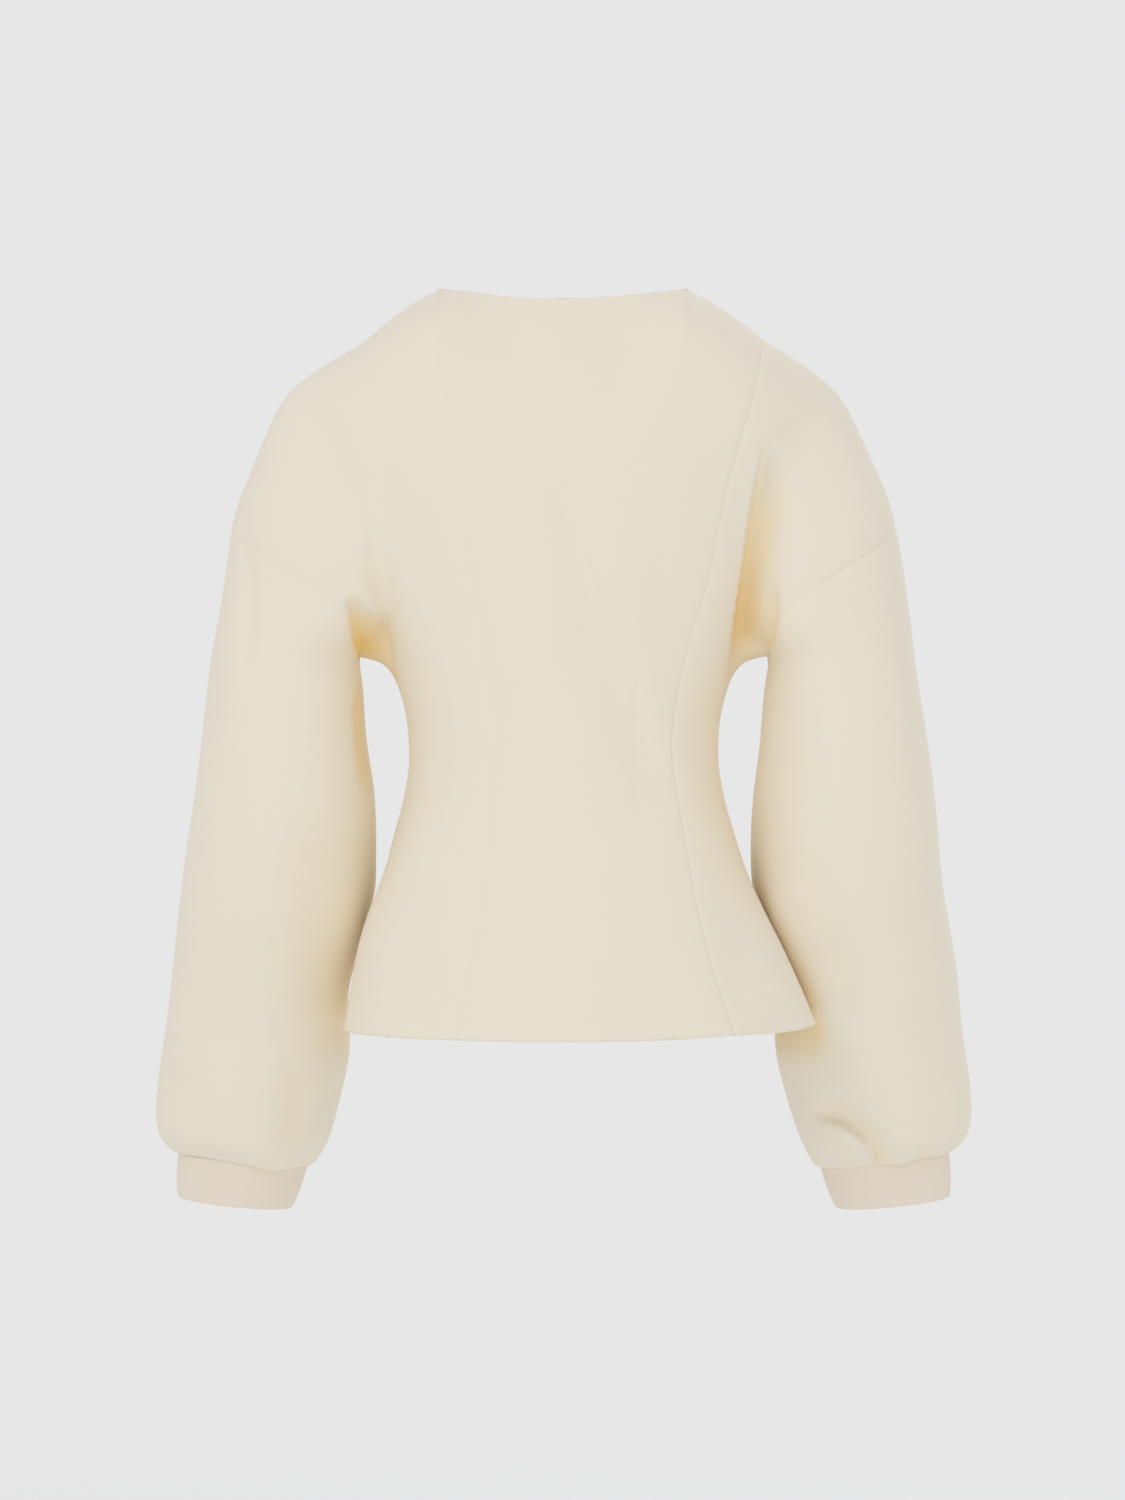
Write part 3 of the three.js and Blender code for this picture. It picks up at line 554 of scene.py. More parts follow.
def back_grid():
    left, right = centre_grid("back", "left"), centre_grid("back", "right")
    points = np.concatenate([left["points"][:0:-1], right["points"]])
    on_neck = (np.abs(points[:, :1, 0]) < NECK_HALF)
    made = grid(points, [
        ("princess", "first_column", ALL),
        ("princess", "last_column", ALL),
        ("neck", "first_row", on_neck),
        ("shoulder", "first_row", ~on_neck),
        ("hem", "last_row", ALL),
    ])
    made["near"] = {
        name: np.concatenate([left["near"][name][:0:-1], right["near"][name]]) for name in left["near"]
    }
    return made


PIECES = {"back": dict(face="back", side="middle", grids=[back_grid()])}
for side in ("left", "right"):
    PIECES[f"side_back_{side}"] = dict(face="back", side=side, grids=side_grids("back", side))
    PIECES[f"side_front_{side}"] = dict(face="front", side=side, grids=side_grids("front", side))
    PIECES[f"front_{side}"] = dict(face="front", side=side, grids=[centre_grid("front", side)])
    PIECES[f"sleeve_{side}"] = dict(face=None, side=side, grids=[sleeve_grid(side)])
for name, piece in PIECES.items():
    print(name, [g["points"].shape[:2] for g in piece["grids"]])

# %% [markdown]
# ## Sewing the grids into one skin
# Points that fall on each other become one point, so a fold that crosses a seam moves both pieces alike.
# The whole skin is smoothed once, only along its own normals, which takes out the faint lines where one
# rule hands over to the next and leaves the seams where they are.

# %% One skin from all the grids
SAME = 0.004  # points this near, in mm, are one


def weld():
    points = np.concatenate([g["points"].reshape(-1, 3) for p in PIECES.values() for g in p["grids"]])
    _, first, index = np.unique(np.round(points / SAME), axis=0, return_index=True, return_inverse=True)
    index = index.reshape(-1)
    begin = 0
    for piece in PIECES.values():
        quads, corners = [], []
        for g in piece["grids"]:
            shape = g["points"].shape[:2]
            ids = index[begin:begin + shape[0] * shape[1]].reshape(shape)
            begin += shape[0] * shape[1]
            g["ids"] = ids
            uv = np.stack([g["across"], g["along"]], axis=-1)
            ring = [(slice(None, -1), slice(None, -1)), (slice(1, None), slice(None, -1)),
                    (slice(1, None), slice(1, None)), (slice(None, -1), slice(1, None))]
            quads.append(np.stack([ids[c] for c in ring], axis=-1).reshape(-1, 4))
            corners.append(np.stack([uv[c] for c in ring], axis=-2).reshape(-1, 4, 2))
        piece["quads"], piece["uvs"] = np.concatenate(quads), np.concatenate(corners)
    return points[first]


def face_out(skin):
    """Turns each piece's squares so that they face away from the middle of their own tube."""
    for piece in PIECES.values():
        a, b, c, d = (skin[piece["quads"][:, k]] for k in range(4))
        normal, centre = np.cross(c - a, d - b), (a + c) / 2
        z = centre[:, 2]
        if piece["face"] is None:
            inside = stack(piece["side"], arm_place(np.full_like(z, 0.5), z), arm["mid"](z), z)
        else:
            inside = stack("left", np.zeros_like(z), np.zeros_like(z), z)
        if np.sum(normal * (centre - inside)) < 0:
            piece["quads"], piece["uvs"] = piece["quads"][:, ::-1], piece["uvs"][:, ::-1]


def gather(quads, values, count):
    """Sums a value for each square onto its corners."""
    return np.stack([
        sum(np.bincount(quads[:, k], weights=values[:, axis], minlength=count) for k in range(4))
        for axis in range(3)
    ], axis=-1)


def unit(v):
    return v / np.maximum(np.linalg.norm(v, axis=-1, keepdims=True), 1e-9)


def normals_of(skin, quads):
    a, b, c, d = (skin[quads[:, k]] for k in range(4))
    return unit(gather(quads, np.cross(c - a, d - b), len(skin)))


def edges_of(quads):
    """Each square's directed edges, with the square that each belongs to, left out where they vanish."""
    start, end = quads.reshape(-1), np.roll(quads, -1, axis=1).reshape(-1)
    square = np.repeat(np.arange(len(quads)), 4)
    real = start != end
    return start[real], end[real], square[real]


skin = weld()
face_out(skin)
QUADS = np.concatenate([piece["quads"] for piece in PIECES.values()])
START, END, _ = edges_of(QUADS)
PAIRS, USES = np.unique(np.sort(np.stack([START, END], axis=1), axis=1), axis=0, return_counts=True)
RIM = np.unique(PAIRS[USES == 1])
print(len(skin), "points,", len(QUADS), "squares,", len(RIM), "points on open edges")

# %% Smooth the skin along its normals
SMOOTHINGS = 10
NECK_SMOOTHINGS = 24  # the yoke lies smooth over the shoulders


def smoothed(skin, rounds, free):
    count = np.bincount(PAIRS.reshape(-1), minlength=len(skin))[:, None]
    free = free[:, None] * 0.5
    free[RIM] = 0
    for _ in range(rounds):
        total = np.stack([
            np.bincount(PAIRS[:, 0], weights=skin[PAIRS[:, 1], axis], minlength=len(skin))
            + np.bincount(PAIRS[:, 1], weights=skin[PAIRS[:, 0], axis], minlength=len(skin))
            for axis in range(3)
        ], axis=-1)
        normal = normals_of(skin, QUADS)
        pull = np.sum((total / count - skin) * normal, axis=1, keepdims=True)
        skin = skin + free * pull * normal
    return skin


def distances(name):
    """Each point's distance to the nearest seam of a name."""
    found = np.full(len(skin), 1e3)
    for piece in PIECES.values():
        for g in piece["grids"]:
            if name in g["near"]:
                np.minimum.at(found, g["ids"].reshape(-1), g["near"][name].reshape(-1))
    return found


# The neck is smoothed more: above a height, within a distance from the middle, and each fades over some mm.
NECK_LOW, NECK_LOW_OVER = -125, 45
NECK_OUT, NECK_OUT_OVER = 140, 30
skin = smoothed(skin, SMOOTHINGS, np.ones(len(skin)))
in_neck = smooth((NECK_OUT - np.abs(skin[:, 0])) / NECK_OUT_OVER)
near_neck = smooth((skin[:, 2] - NECK_LOW) / NECK_LOW_OVER) * in_neck
skin = smoothed(skin, NECK_SMOOTHINGS, near_neck)
NEAR_CUFF = distances("cuff")

# %% [markdown]
# ## Folds
# Thick knit makes few folds, and soft ones: long troughs where the arm hangs from the shoulder, a deep
# crease into each underarm, and broad rolls above the cuffs where the full sleeve settles. Each fold is a
# path of a few points given in the back or front view, with its width, its depth (a trough is below
# zero), how much shade is painted into its depth in a warmer cream, and its lip, which raises one side
# and sinks the other as where cloth rolls over itself. A fold moves the cloth straight in or out, which
# keeps all but the sharpest creases from cutting through themselves.

# %% The folds, one by one
def crease(side, high, low, count=9):
    """The path of the crease under an arm, where one column of each side piece runs."""
    sign = 1 if side == "left" else -1
    return [(sign * float(crease_line[side](z)), z) for z in np.linspace(high, low, count)]


FOLDS = [
    # face, path of (x, z) in mm, widths on its left and right, depth, lip, painted shade (or at its two ends)
    ("back", [(4, -130), (-18, -205), (-36, -262), (-60, -345), (-81, -398)], (18, 13), -8.0, -2.2, 0),
    ("back", [(-38, -420), (-52, -480), (-56, -540)], (26, 26), -1.6, 0, 0),
    ("back", [(118, -158), (104, -198), (90, -240)], (13, 13), -1.6, 0, 0),
    ("back", [(60, -330), (84, -352), (108, -362)], (16, 16), -1.4, 0, 0),
    ("back", [(160, -94), (154, -130), (150, -160), (145, -215), (139, -264)], (12, 12), 4, 0, 0),
    ("back", [(157.5, -230), (156, -247), (154.5, -263), (153, -281)], (1.6, 9), -12, 0, (0.1, 1)),
    ("back", [(147, -238), (144, -256), (141, -284)], (12, 12), -5, 0, (0.2, 0.7)),
    ("back", crease("left", -240, -300), (12, 1.4), -3, 0, (0.1, 0.35)),
    ("back", [(154, -284), (156, -318), (153, -350), (149, -386)], (1.4, 9), -5, 0, 0.45),
    ("back", crease("right", -112, -300), (1.2, 17), -14, 0, (0.1, 0.95)),
    ("back", [(-155, -218), (-157, -240), (-156, -258), (-153, -280)], (10, 1.6), -5, 0, (0.1, 0.45)),
    ("back", [(-136, -458), (-130, -500), (-128, -548)], (15, 15), -3.2, 0, 0),
    ("back", [(172, -360), (180, -440), (186, -520), (182, -630)], (24, 24), -3, 0, 0.1),
    ("back", [(240, -165), (234, -250), (235, -305)], (5, 6), -3.4, 0.8, 0),
    ("back", [(-196, -470), (-214, -540), (-226, -600)], (26, 26), -2.2, 0, 0),
    ("front", [(48, -170), (66, -230), (84, -290)], (20, 20), -3, 0, 0),
    ("front", [(26, -420), (52, -470), (60, -540)], (22, 22), -2, 0, 0),
    ("front", [(-62, -300), (-84, -340), (-100, -372)], (16, 16), -2, 0, 0),
    ("front", crease("right", -106, -296), (1.6, 15), -12, 0, (0.1, 0.6)),
    ("front", crease("left", -110, -292), (14, 1.8), -10, 0, (0.1, 0.5)),
    ("front", [(132, -450), (138, -540)], (18, 18), -4, 0, 0),
    ("front", [(-182, -390), (-190, -520), (-192, -630)], (26, 26), -6, 0, 0.1),
    ("front", [(240, -420), (252, -500), (262, -560)], (24, 24), -4, 0, 0),
    ("front", [(-236, -300), (-246, -360), (-270, -410)], (20, 20), -4, 1, 0),
    ("front", [(186, -300), (198, -345), (226, -372)], (18, 18), -4, 1, 0),
]
# The folds above the cuffs, in the same columns: the last is the painted shade.
CUFF_FOLDS = [
    ("back", [(-184, -622), (-196, -624), (-210, -628), (-221, -634), (-230, -642), (-236, -652),
              (-240, -663)], (1.8, 11), -9, 0, 0.15),
    ("back", [(-190, -634), (-206, -638), (-217, -645), (-223, -656)], (9, 9), 2.5, 0, 0),
    ("back", [(-252, -634), (-256, -648), (-258, -660)], (11, 11), 2, 0, 0),
    ("back", [(-272, -650), (-276, -657), (-277, -664)], (5, 5), -2.5, 0, 0.1),
    ("back", [(256, -630), (250, -646), (247, -660)], (14, 14), -1.5, 0, 0),
    ("back", [(218, -652), (210, -640), (206, -622), (206, -596)], (12, 12), -2.4, 0, 0.1),
    ("back", [(286, -650), (290, -630), (290, -600)], (12, 12), -1.6, 0, 0),
    ("front", [(200, -612), (224, -622), (246, -642), (256, -660)], (11, 3), -6, 0, 0.3),
    ("front", [(-212, -600), (-230, -622), (-240, -642), (-246, -661)], (3, 11), -6, 0, 0.3),
    ("front", [(-284, -606), (-282, -634), (-274, -658)], (12, 12), -4, 0, 0),
    ("front", [(290, -600), (290, -632), (280, -658)], (12, 12), -4, 0, 0),
]
SLEEVE_FOLDS = [
    ("back", [(-140, -440), (-152, -470), (-167, -500), (-181, -530), (-193, -560)], (2.2, 30), 9, 0, 0),
    ("back", [(140, -440), (150, -470), (158, -500), (164, -530), (170, -560)], (30, 2.2), 8, 0, 0),
]
FOLD_FADE = 16.0  # ridges die away this near to the line between back and front
FOLD_ROOM = 0.8  # the deepest a hollow can go, as a share of the way to the middle plane
FOLD_TAPER = 0.3  # a fold fades in and out over this share of its length
LIP_PEAK = 2.33  # s * exp(-s * s) is at most one over this, so a lip is as high as its figure


def fold_path(points, count=60):
    """A smooth path through the points of a fold."""
    points = np.array(points, float)
    length = np.concatenate([[0], np.cumsum(np.linalg.norm(np.diff(points, axis=0), axis=1))])
    if len(points) == 2:
        points = np.insert(points, 1, points.mean(axis=0), axis=0)
        length = np.insert(length, 1, length[-1] / 2)
    t = np.linspace(0, length[-1], count)
    return np.stack([curve({"z": length, "v": points[:, k]}, "v")(t) for k in (0, 1)], axis=-1)


def folded(skin, folds, tail=True):
    """How far the folds push each point of the skin out from the middle plane, and how much shade they paint
    on it.
    """
    middle = np.where(IN_SLEEVE, arm["mid"](skin[:, 2]), torso["seam"](skin[:, 2]))
    lean = skin[:, 1] - middle
    push, painted_warm_shade = np.zeros(len(skin)), np.zeros(len(skin))
    for face, points, widths, depth, lip, painted_shade_share in folds:
        path = fold_path(points)
        on_face = lean >= 0 if face == "back" else lean < 0
        room = 3 * max(widths)
        near = on_face & np.all((skin[:, (0, 2)] > path.min(axis=0) - room)
                                & (skin[:, (0, 2)] < path.max(axis=0) + room), axis=1)
        spots = skin[near][:, (0, 2)]
        gap = spots[:, None] - path[None]
        closest = np.argmin(np.sum(gap**2, axis=2), axis=1)
        heading = np.gradient(path, axis=0)[closest]
        offset = gap[np.arange(len(spots)), closest]
        left = heading[:, 0] * offset[:, 1] > heading[:, 1] * offset[:, 0]
        s = np.linalg.norm(offset, axis=1) / np.where(left, *widths) * np.where(left, 1, -1)
        t = closest / (len(path) - 1)
        taper = smooth(t / FOLD_TAPER) * (smooth((1 - t) / FOLD_TAPER) if tail else 1)
        bell = np.exp(-(s**2))
        push[near] += taper * (depth * bell + lip * s * bell * LIP_PEAK)
        # Painted shade: each fold tints its trough a warmer cream, as much as its last figure says.
        painted_warm_shade[near] += taper * bell * (mix(*painted_shade_share, t) if isinstance(painted_shade_share, tuple) else painted_shade_share)
    # A hollow never reaches the middle plane, so the back and the front stay clear of each other.
    room = FOLD_ROOM * np.abs(lean) + 0.01
    hollow = np.minimum(push, 0) * room / (room + np.abs(push))
    return (hollow + np.maximum(push, 0) * smooth(np.abs(lean) / FOLD_FADE)) * np.sign(lean), painted_warm_shade


def painted_bounce_light(skin):
    """Painted bounce light: a warmer cream where body and sleeve stand close, for the cream light that each
    throws on the other.
    """
    out, z = np.abs(skin[:, 0]), skin[:, 2]
    found = np.zeros(len(skin))
    for side, (on_body, on_sleeve, by_hem) in PAINTED_BOUNCE.items():
        here = (skin[:, 0] > 0) == (side == "left")
        beside = side_line(side, np.minimum(z, UNDERARM))
        low = smooth((UNDERARM + BOUNCE_ABOVE - z) / BOUNCE_ABOVE_OVER)
        body = on_body * np.exp(-((np.minimum(0, out - beside) / BODY_BOUNCE_WIDE) ** 2)) * low
        body = body * smooth((z - BODY_COOL) / BODY_COOL_OVER)
        gap = np.maximum(0, out - np.maximum(beside, arm["inner"](z)))
        strength = mix(on_sleeve, by_hem, smooth((BY_HEM - z) / BY_HEM_OVER))
        sleeve = strength * np.exp(-((gap / SLEEVE_BOUNCE_WIDE[side]) ** 2)) * low
        sleeve = sleeve * smooth((z - SLEEVE_COOL) / SLEEVE_COOL_OVER)
        found = np.where(here, np.where(IN_SLEEVE, sleeve, body), found)
    lean = skin[:, 1] - np.where(IN_SLEEVE, arm["mid"](z), torso["seam"](z))
    return found * smooth(lean / PAINTED_BOUNCE_FADE)


# Painted bounce light between body and sleeve: its strengths on each side, then where and over how many mm it
# fades.
PAINTED_BOUNCE = {
    # side: painted bounce light on the body's edge, on the sleeve's inner edge, and on the sleeve beside the
    # flared hem
    "left": (0.0, 0.1, 0.22),
    "right": (0.14, 0.0, 0.5),
}
PAINTED_BOUNCE_FADE = 14.0  # it dies away this near to the line between back and front
BODY_BOUNCE_WIDE = 26.0  # mm over which the body's warmth dies away
SLEEVE_BOUNCE_WIDE = {"left": 20.0, "right": 11.0}
# The painted bounce light starts at the first, just above the underarm. The body's ends at the second, above
# the hem.
# The sleeve takes its strength beside the flared hem from the third down, and ends at the fourth, above
# the cuff. Each changes over so many mm.
BOUNCE_ABOVE, BOUNCE_ABOVE_OVER = 6, 30
BODY_COOL, BODY_COOL_OVER = -500, 90
BY_HEM, BY_HEM_OVER = -410, 70
SLEEVE_COOL, SLEEVE_COOL_OVER = -592, 34
IN_SLEEVE = np.zeros(len(skin), bool)
for side in ("left", "right"):
    IN_SLEEVE[PIECES[f"sleeve_{side}"]["grids"][0]["ids"][:, 1:].reshape(-1)] = True
push, painted_warm_shade = folded(skin, FOLDS)
cuff_push, cuff_painted_shade = folded(skin, CUFF_FOLDS, tail=False)
push += cuff_push * smooth((NEAR_CUFF - 1) / 10) + folded(skin, SLEEVE_FOLDS)[0] * IN_SLEEVE
# The painted shade of the folds and the painted bounce light between body and sleeve, as one share.
painted_warm_shade = np.clip(painted_warm_shade + cuff_painted_shade + painted_bounce_light(skin), 0, 1)
skin[:, 1] += push
print("deepest fold", round(float(np.abs(push).max()), 1), "mm")

# %% [markdown]
# The full sleeve puffs over its cuff: its last two centimetres hang lower than the seam that holds
# them. Nowhere is worn cloth perfectly even either, so long shallow waves run over everything.

# %% Puff the sleeve ends, and make the cloth a little uneven
PUFF = [
    # side, turn round the cuff in degrees from outside by the back, reach in degrees, droop in mm
    ("right", 172, 26, 4.0), ("right", 79, 15, 5.5), ("right", 34, 14, 2.0), ("right", 230, 50, 4),
    ("right", 320, 30, 3),
    ("left", 26, 20, 1.5), ("left", 127, 24, 6.5), ("left", 200, 40, 3.5), ("left", 290, 44, 3),
]
PUFF_AT, PUFF_WIDE = 9.0, 7.5
PUFF_REACH = 60  # only cloth this near to the cuff droops
PUFF_HELD = 3  # and the seam holds it over this many mm
WAVES = 14
WAVE_HEIGHT = 0.28
WAVE_LENGTHS = (55, 130)

for side in ("left", "right"):
    ids = np.unique(PIECES[f"sleeve_{side}"]["grids"][0]["ids"])
    ids = ids[NEAR_CUFF[ids] < PUFF_REACH]
    z = skin[ids, 2]
    out = np.abs(skin[ids, 0]) - (outer(z) + arm["inner"](z)) / 2
    turn = np.degrees(np.arctan2(skin[ids, 1] - arm["mid"](z), out)) % 360
    droop = np.zeros(len(ids))
    for which, at, wide, drop in PUFF:
        if which == side:
            away = (turn - at + 180) % 360 - 180
            droop += drop * np.exp(-((away / wide) ** 2))
    d = NEAR_CUFF[ids]
    skin[ids, 2] -= droop * np.exp(-(((d - PUFF_AT) / PUFF_WIDE) ** 2)) * smooth(d / PUFF_HELD)

random = np.random.default_rng(7)
heading = unit(random.normal(size=(WAVES, 3)))
direction = heading * (2 * math.pi / random.uniform(*WAVE_LENGTHS, size=(WAVES, 1)))
ripple = np.sin(skin @ direction.T + random.uniform(0, 2 * math.pi, WAVES)).sum(axis=1)
skin = skin + normals_of(skin, QUADS) * (WAVE_HEIGHT * ripple)[:, None]

# %% [markdown]
# ## Seams
# The pieces are joined by plain seams pressed open, with no stitching on the outside: the cloth only
# rolls down into a narrow groove. The distance to each seam was kept with the grids, so the groove is a
# simple function of it. The princess and armhole seams on the wearer's left are pressed flat and don't
# show.

# %% Press the seams in
GROOVES = {
    # seam: depth on the wearer's left and right in mm
    "princess": (0.0, 1.3),
    "armhole": (0.0, 1.2),
    "side": (0.4, 0.4),
    "shoulder": (0.4, 0.4),
    "underarm": (0.4, 0.4),
}
GROOVE_WIDTH = 1.0
GROOVE_SOFT = 5.0  # the cloth dips gently this far from the seam
ARMHOLE_FLAT, ARMHOLE_FLAT_OVER = -238.0, 24  # the armhole seam lies flat below this
PIT_CLEAR = 50.0  # every seam flattens out this near the underarm, where four pieces meet


# Under the arm, where four pieces meet, and below the neck points the squares are crowded. They are
# spread out more evenly there, though a few still fold over.
TIGHT = [
    # out, y and z of each spot, and how far round it the cloth is eased, in mm
    (153, 13, -273, 13),
    (153, -13, -273, 13),
    (117, 13, -319, 14),
    (94, -36, -10, 15),
    (92.5, -62, -28, 13),
]
EASINGS = 14


def eased_at(skin, out, y, z, reach, rounds):
    """Spread the points round a spot, on both sides of the body, evenly between their neighbours."""
    away = np.stack([np.abs(skin[:, 0]) - out, skin[:, 1] - y, skin[:, 2] - z], axis=-1)
    apart = np.linalg.norm(away, axis=1)
    free = 0.5 * smooth((reach - apart) / reach)[:, None]
    free[RIM] = 0
    count = np.bincount(PAIRS.reshape(-1), minlength=len(skin))[:, None]
    for _ in range(rounds):
        total = np.zeros_like(skin)
        np.add.at(total, PAIRS[:, 0], skin[PAIRS[:, 1]])
        np.add.at(total, PAIRS[:, 1], skin[PAIRS[:, 0]])
        skin = skin + free * (total / count - skin)
    return skin


for spot in TIGHT:
    skin = eased_at(skin, *spot, EASINGS)
NEAR = {name: distances(name) for name in ("neck", "hem", "edge", "cuff", *GROOVES)}
normal = normals_of(skin, QUADS)
from_pit = np.linalg.norm(np.abs(skin) * (1, 0, 0) + skin * (0, 1, 1) - (WEB_END_OUT, 0, UNDERARM), axis=1)
for name, (left, right) in GROOVES.items():
    depth = mix(right, left, smooth(skin[:, 0] / 20 + 0.5)) * smooth(from_pit / PIT_CLEAR - 0.2)
    if name == "armhole":
        depth = depth * smooth((skin[:, 2] - ARMHOLE_FLAT) / ARMHOLE_FLAT_OVER)
    d = NEAR[name]
    dip = 0.75 * np.exp(-((d / GROOVE_WIDTH) ** 2)) + 0.25 * np.exp(-((d / GROOVE_SOFT) ** 2))
    skin = skin - normal * (depth * dip)[:, None]

# %% [markdown]
# ## From skin to cloth
# Each piece takes its squares of the skin and becomes a closed wall. Neck, front edges and hem are turned
# edges: the cloth is folded in by a hem's width, so the wall is thicker there and its rim is round.
# Beside the seams, on the inside, lies the seam allowance, another layer of knit.

# %% Build a wall from a patch
TURNED = {"neck": (1.5, 22), "edge": (1.4, 20), "hem": (1.5, 26)}  # how much thicker, and how wide
ALLOWANCE = (1.3, 9.0)  # extra thickness beside a seam, and how wide
STEP_SOFT = 1.6  # the inner layer's edge is rounded over this far
RIM_ARC = 5  # faces round a rim
OPEN_INSET, SEAM_INSET = 0.9, 0.015
TOUCHING = 1e-6
SHARP = math.radians(65)  # faces that meet more sharply than this are shaded apart

thickness = np.full(len(skin), CLOTH)
extra = np.zeros(len(skin))
for name, (more, wide) in TURNED.items():
    extra = np.maximum(extra, more * smooth((wide - NEAR[name]) / STEP_SOFT))
for name in GROOVES:
    extra = np.maximum(extra, ALLOWANCE[0] * smooth((ALLOWANCE[1] - NEAR[name]) / STEP_SOFT))
thickness += extra

KEYED = dict(zip(map(tuple, PAIRS.tolist()), USES.tolist()))


def to_mesh(name, points, faces, uvs, painted_shade_share):
    """A mesh object at the origin, in metres, smooth all over, with a UV map in millimetres of cloth."""
    mesh = bpy.data.meshes.new(name)
    mesh.from_pydata((points * MM).tolist(), [], faces)
    layer = mesh.uv_layers.new(name="cloth")
    layer.data.foreach_set("uv", np.concatenate(uvs).reshape(-1) * MM)
    mesh.polygons.foreach_set("use_smooth", np.ones(len(faces), bool))
    # The painted shade and painted bounce light, a share at each point that the material mixes into its
    # colour.
    attribute = mesh.attributes.new("painted_shade_share", "FLOAT", "POINT")
    attribute.data.foreach_set("value", painted_shade_share)
    mesh.validate()
    mesh.set_sharp_from_angle(angle=SHARP)
    obj = bpy.data.objects.new(name, mesh)
    bpy.context.scene.collection.objects.link(obj)
    return obj


def wall(name, piece, skin, normal, thickness, painted_warm_shade):
    used, quads = np.unique(piece["quads"], return_inverse=True)
    quads = quads.reshape(-1, 4)
    points, n, t = skin[used], normal[used], thickness[used][:, None]
    start, end, square = edges_of(quads)
    code = start.astype(np.int64) * len(used) + end
    other = end.astype(np.int64) * len(used) + start
    rim = ~np.isin(code, other)
    start, end, square = start[rim], end[rim], square[rim]
    centre = points[quads[square]].mean(axis=1)
    heading = unit(points[end] - points[start])
    inward = centre - points[start]
    inward = unit(inward - heading * np.sum(inward * heading, axis=1, keepdims=True))
    pairs = zip(used[start].tolist(), used[end].tolist())
    is_open = np.array([KEYED[tuple(sorted(pair))] == 1 for pair in pairs])
    # The front edges meet but aren't sewn: each is a rounded edge of its own.
    is_open |= (NEAR["edge"][used[start]] < TOUCHING) & (NEAR["edge"][used[end]] < TOUCHING)
    pulls = {True: np.zeros_like(points), False: np.zeros_like(points)}
    for kind in (True, False):
        chosen = is_open == kind
        for ends in (start[chosen], end[chosen]):
            np.add.at(pulls[kind], ends, inward[chosen])
        pulls[kind] = unit(pulls[kind])
    half = t / 2
    outside = points + pulls[True] * np.maximum(half, OPEN_INSET) + pulls[False] * SEAM_INSET
    inside = outside - n * t
    count = len(points)
    all_points = [outside, inside]
    # Round rims: rows of points that swing from the outer skin to the inner one.
    border, where = np.unique(np.concatenate([start, end]), return_inverse=True)
    swing = np.where(np.any(pulls[True][border] != 0, axis=1)[:, None], -pulls[True][border], 0)
    middle = (outside[border] + inside[border]) / 2
    for k in range(1, RIM_ARC):
        angle = math.pi * k / RIM_ARC
        arc = middle + (outside[border] - middle) * math.cos(angle) + swing * half[border] * math.sin(angle)
        all_points.append(arc)
    rows = [border] + [2 * count + len(border) * k + np.arange(len(border)) for k in range(RIM_ARC - 1)]
    rows.append(border + count)
    a, b = where[:len(start)], where[len(start):]
    faces, uvs = [], []

    def add(block, uv):
        for face, corner in zip(block.tolist(), uv):
            keep = [k for k in range(4) if face[k] != face[k - 1]]
            faces.append([face[k] for k in keep])
            uvs.append(corner[keep])

    add(quads, piece["uvs"])
    add(quads[:, ::-1] + count, piece["uvs"][:, ::-1])
    flat_uv = piece["uvs"].reshape(-1, 2)
    rim_uv = flat_uv.reshape(-1, 4, 2)[square].mean(axis=1)
    for k in range(RIM_ARC):
        block = np.stack([rows[k][b], rows[k][a], rows[k + 1][a], rows[k + 1][b]], axis=1)
        add(block, np.repeat(rim_uv[:, None], 4, axis=1))
    # Each point of the wall keeps the painted shade of its point of the skin.
    painted_shade_share = np.concatenate([painted_warm_shade[used], painted_warm_shade[used]] + [painted_warm_shade[used][border]] * (RIM_ARC - 1))
    made = to_mesh(name, np.concatenate(all_points), faces, uvs, painted_shade_share)
    corners = points[quads]
    crossed = np.cross(corners[:, 2] - corners[:, 0], corners[:, 3] - corners[:, 1])
    area = np.linalg.norm(crossed, axis=1).sum() / 2
    return made, area


# %% Make nine of the eleven pieces of cloth; the cuffs follow
def cut_size(piece):
    """An estimate of the piece's width and length laid flat, in metres. The width is the longest run
    across, counting horizontal distance only. Laid flat the pieces are narrower than it says, and the
    side pieces far narrower. The length is the longest column, or on a side piece its princess seam,
    because its other side dives into the underarm."""
    widths = 0
    for g in piece["grids"]:
        level = np.linalg.norm(np.diff(g["points"][..., :2], axis=0), axis=2).sum(axis=0)
        widths = widths + np.pad(level, (0, len(piece["grids"][0]["ids"][0]) - len(level)))
    columns = piece["grids"][0]["along"][:, -1]
    return widths.max() * MM, (columns[0] if len(piece["grids"]) > 1 else columns.max()) * MM


cloth = {}
normal = normals_of(skin, QUADS)
for name, piece in PIECES.items():
    obj, area = wall(f"cloth_{name}", piece, skin, normal, thickness, painted_warm_shade)
    width, length = cut_size(piece)
    surface = area * MM * MM
    cloth[name] = dict(obj=obj, area=surface, width=width, length=length)
    size = f"{width:.2f} by {length:.2f} m, {surface:.3f} square metres"
    print(f"{name}: {size}, {len(obj.data.polygons)} faces")

# %% [markdown]
# ## Cuffs
# A cuff is a band of the same knit folded double, a slanting elliptical ring that the full sleeve
# puffs over. One rule gives it all, so it is a small Geometry Nodes tree: an ellipse is swept by a
# rounded section, then its rings are narrowed towards the wrist and tilted with the forearm.

# %% A helper for node trees
MATHS = "ShaderNodeMath"


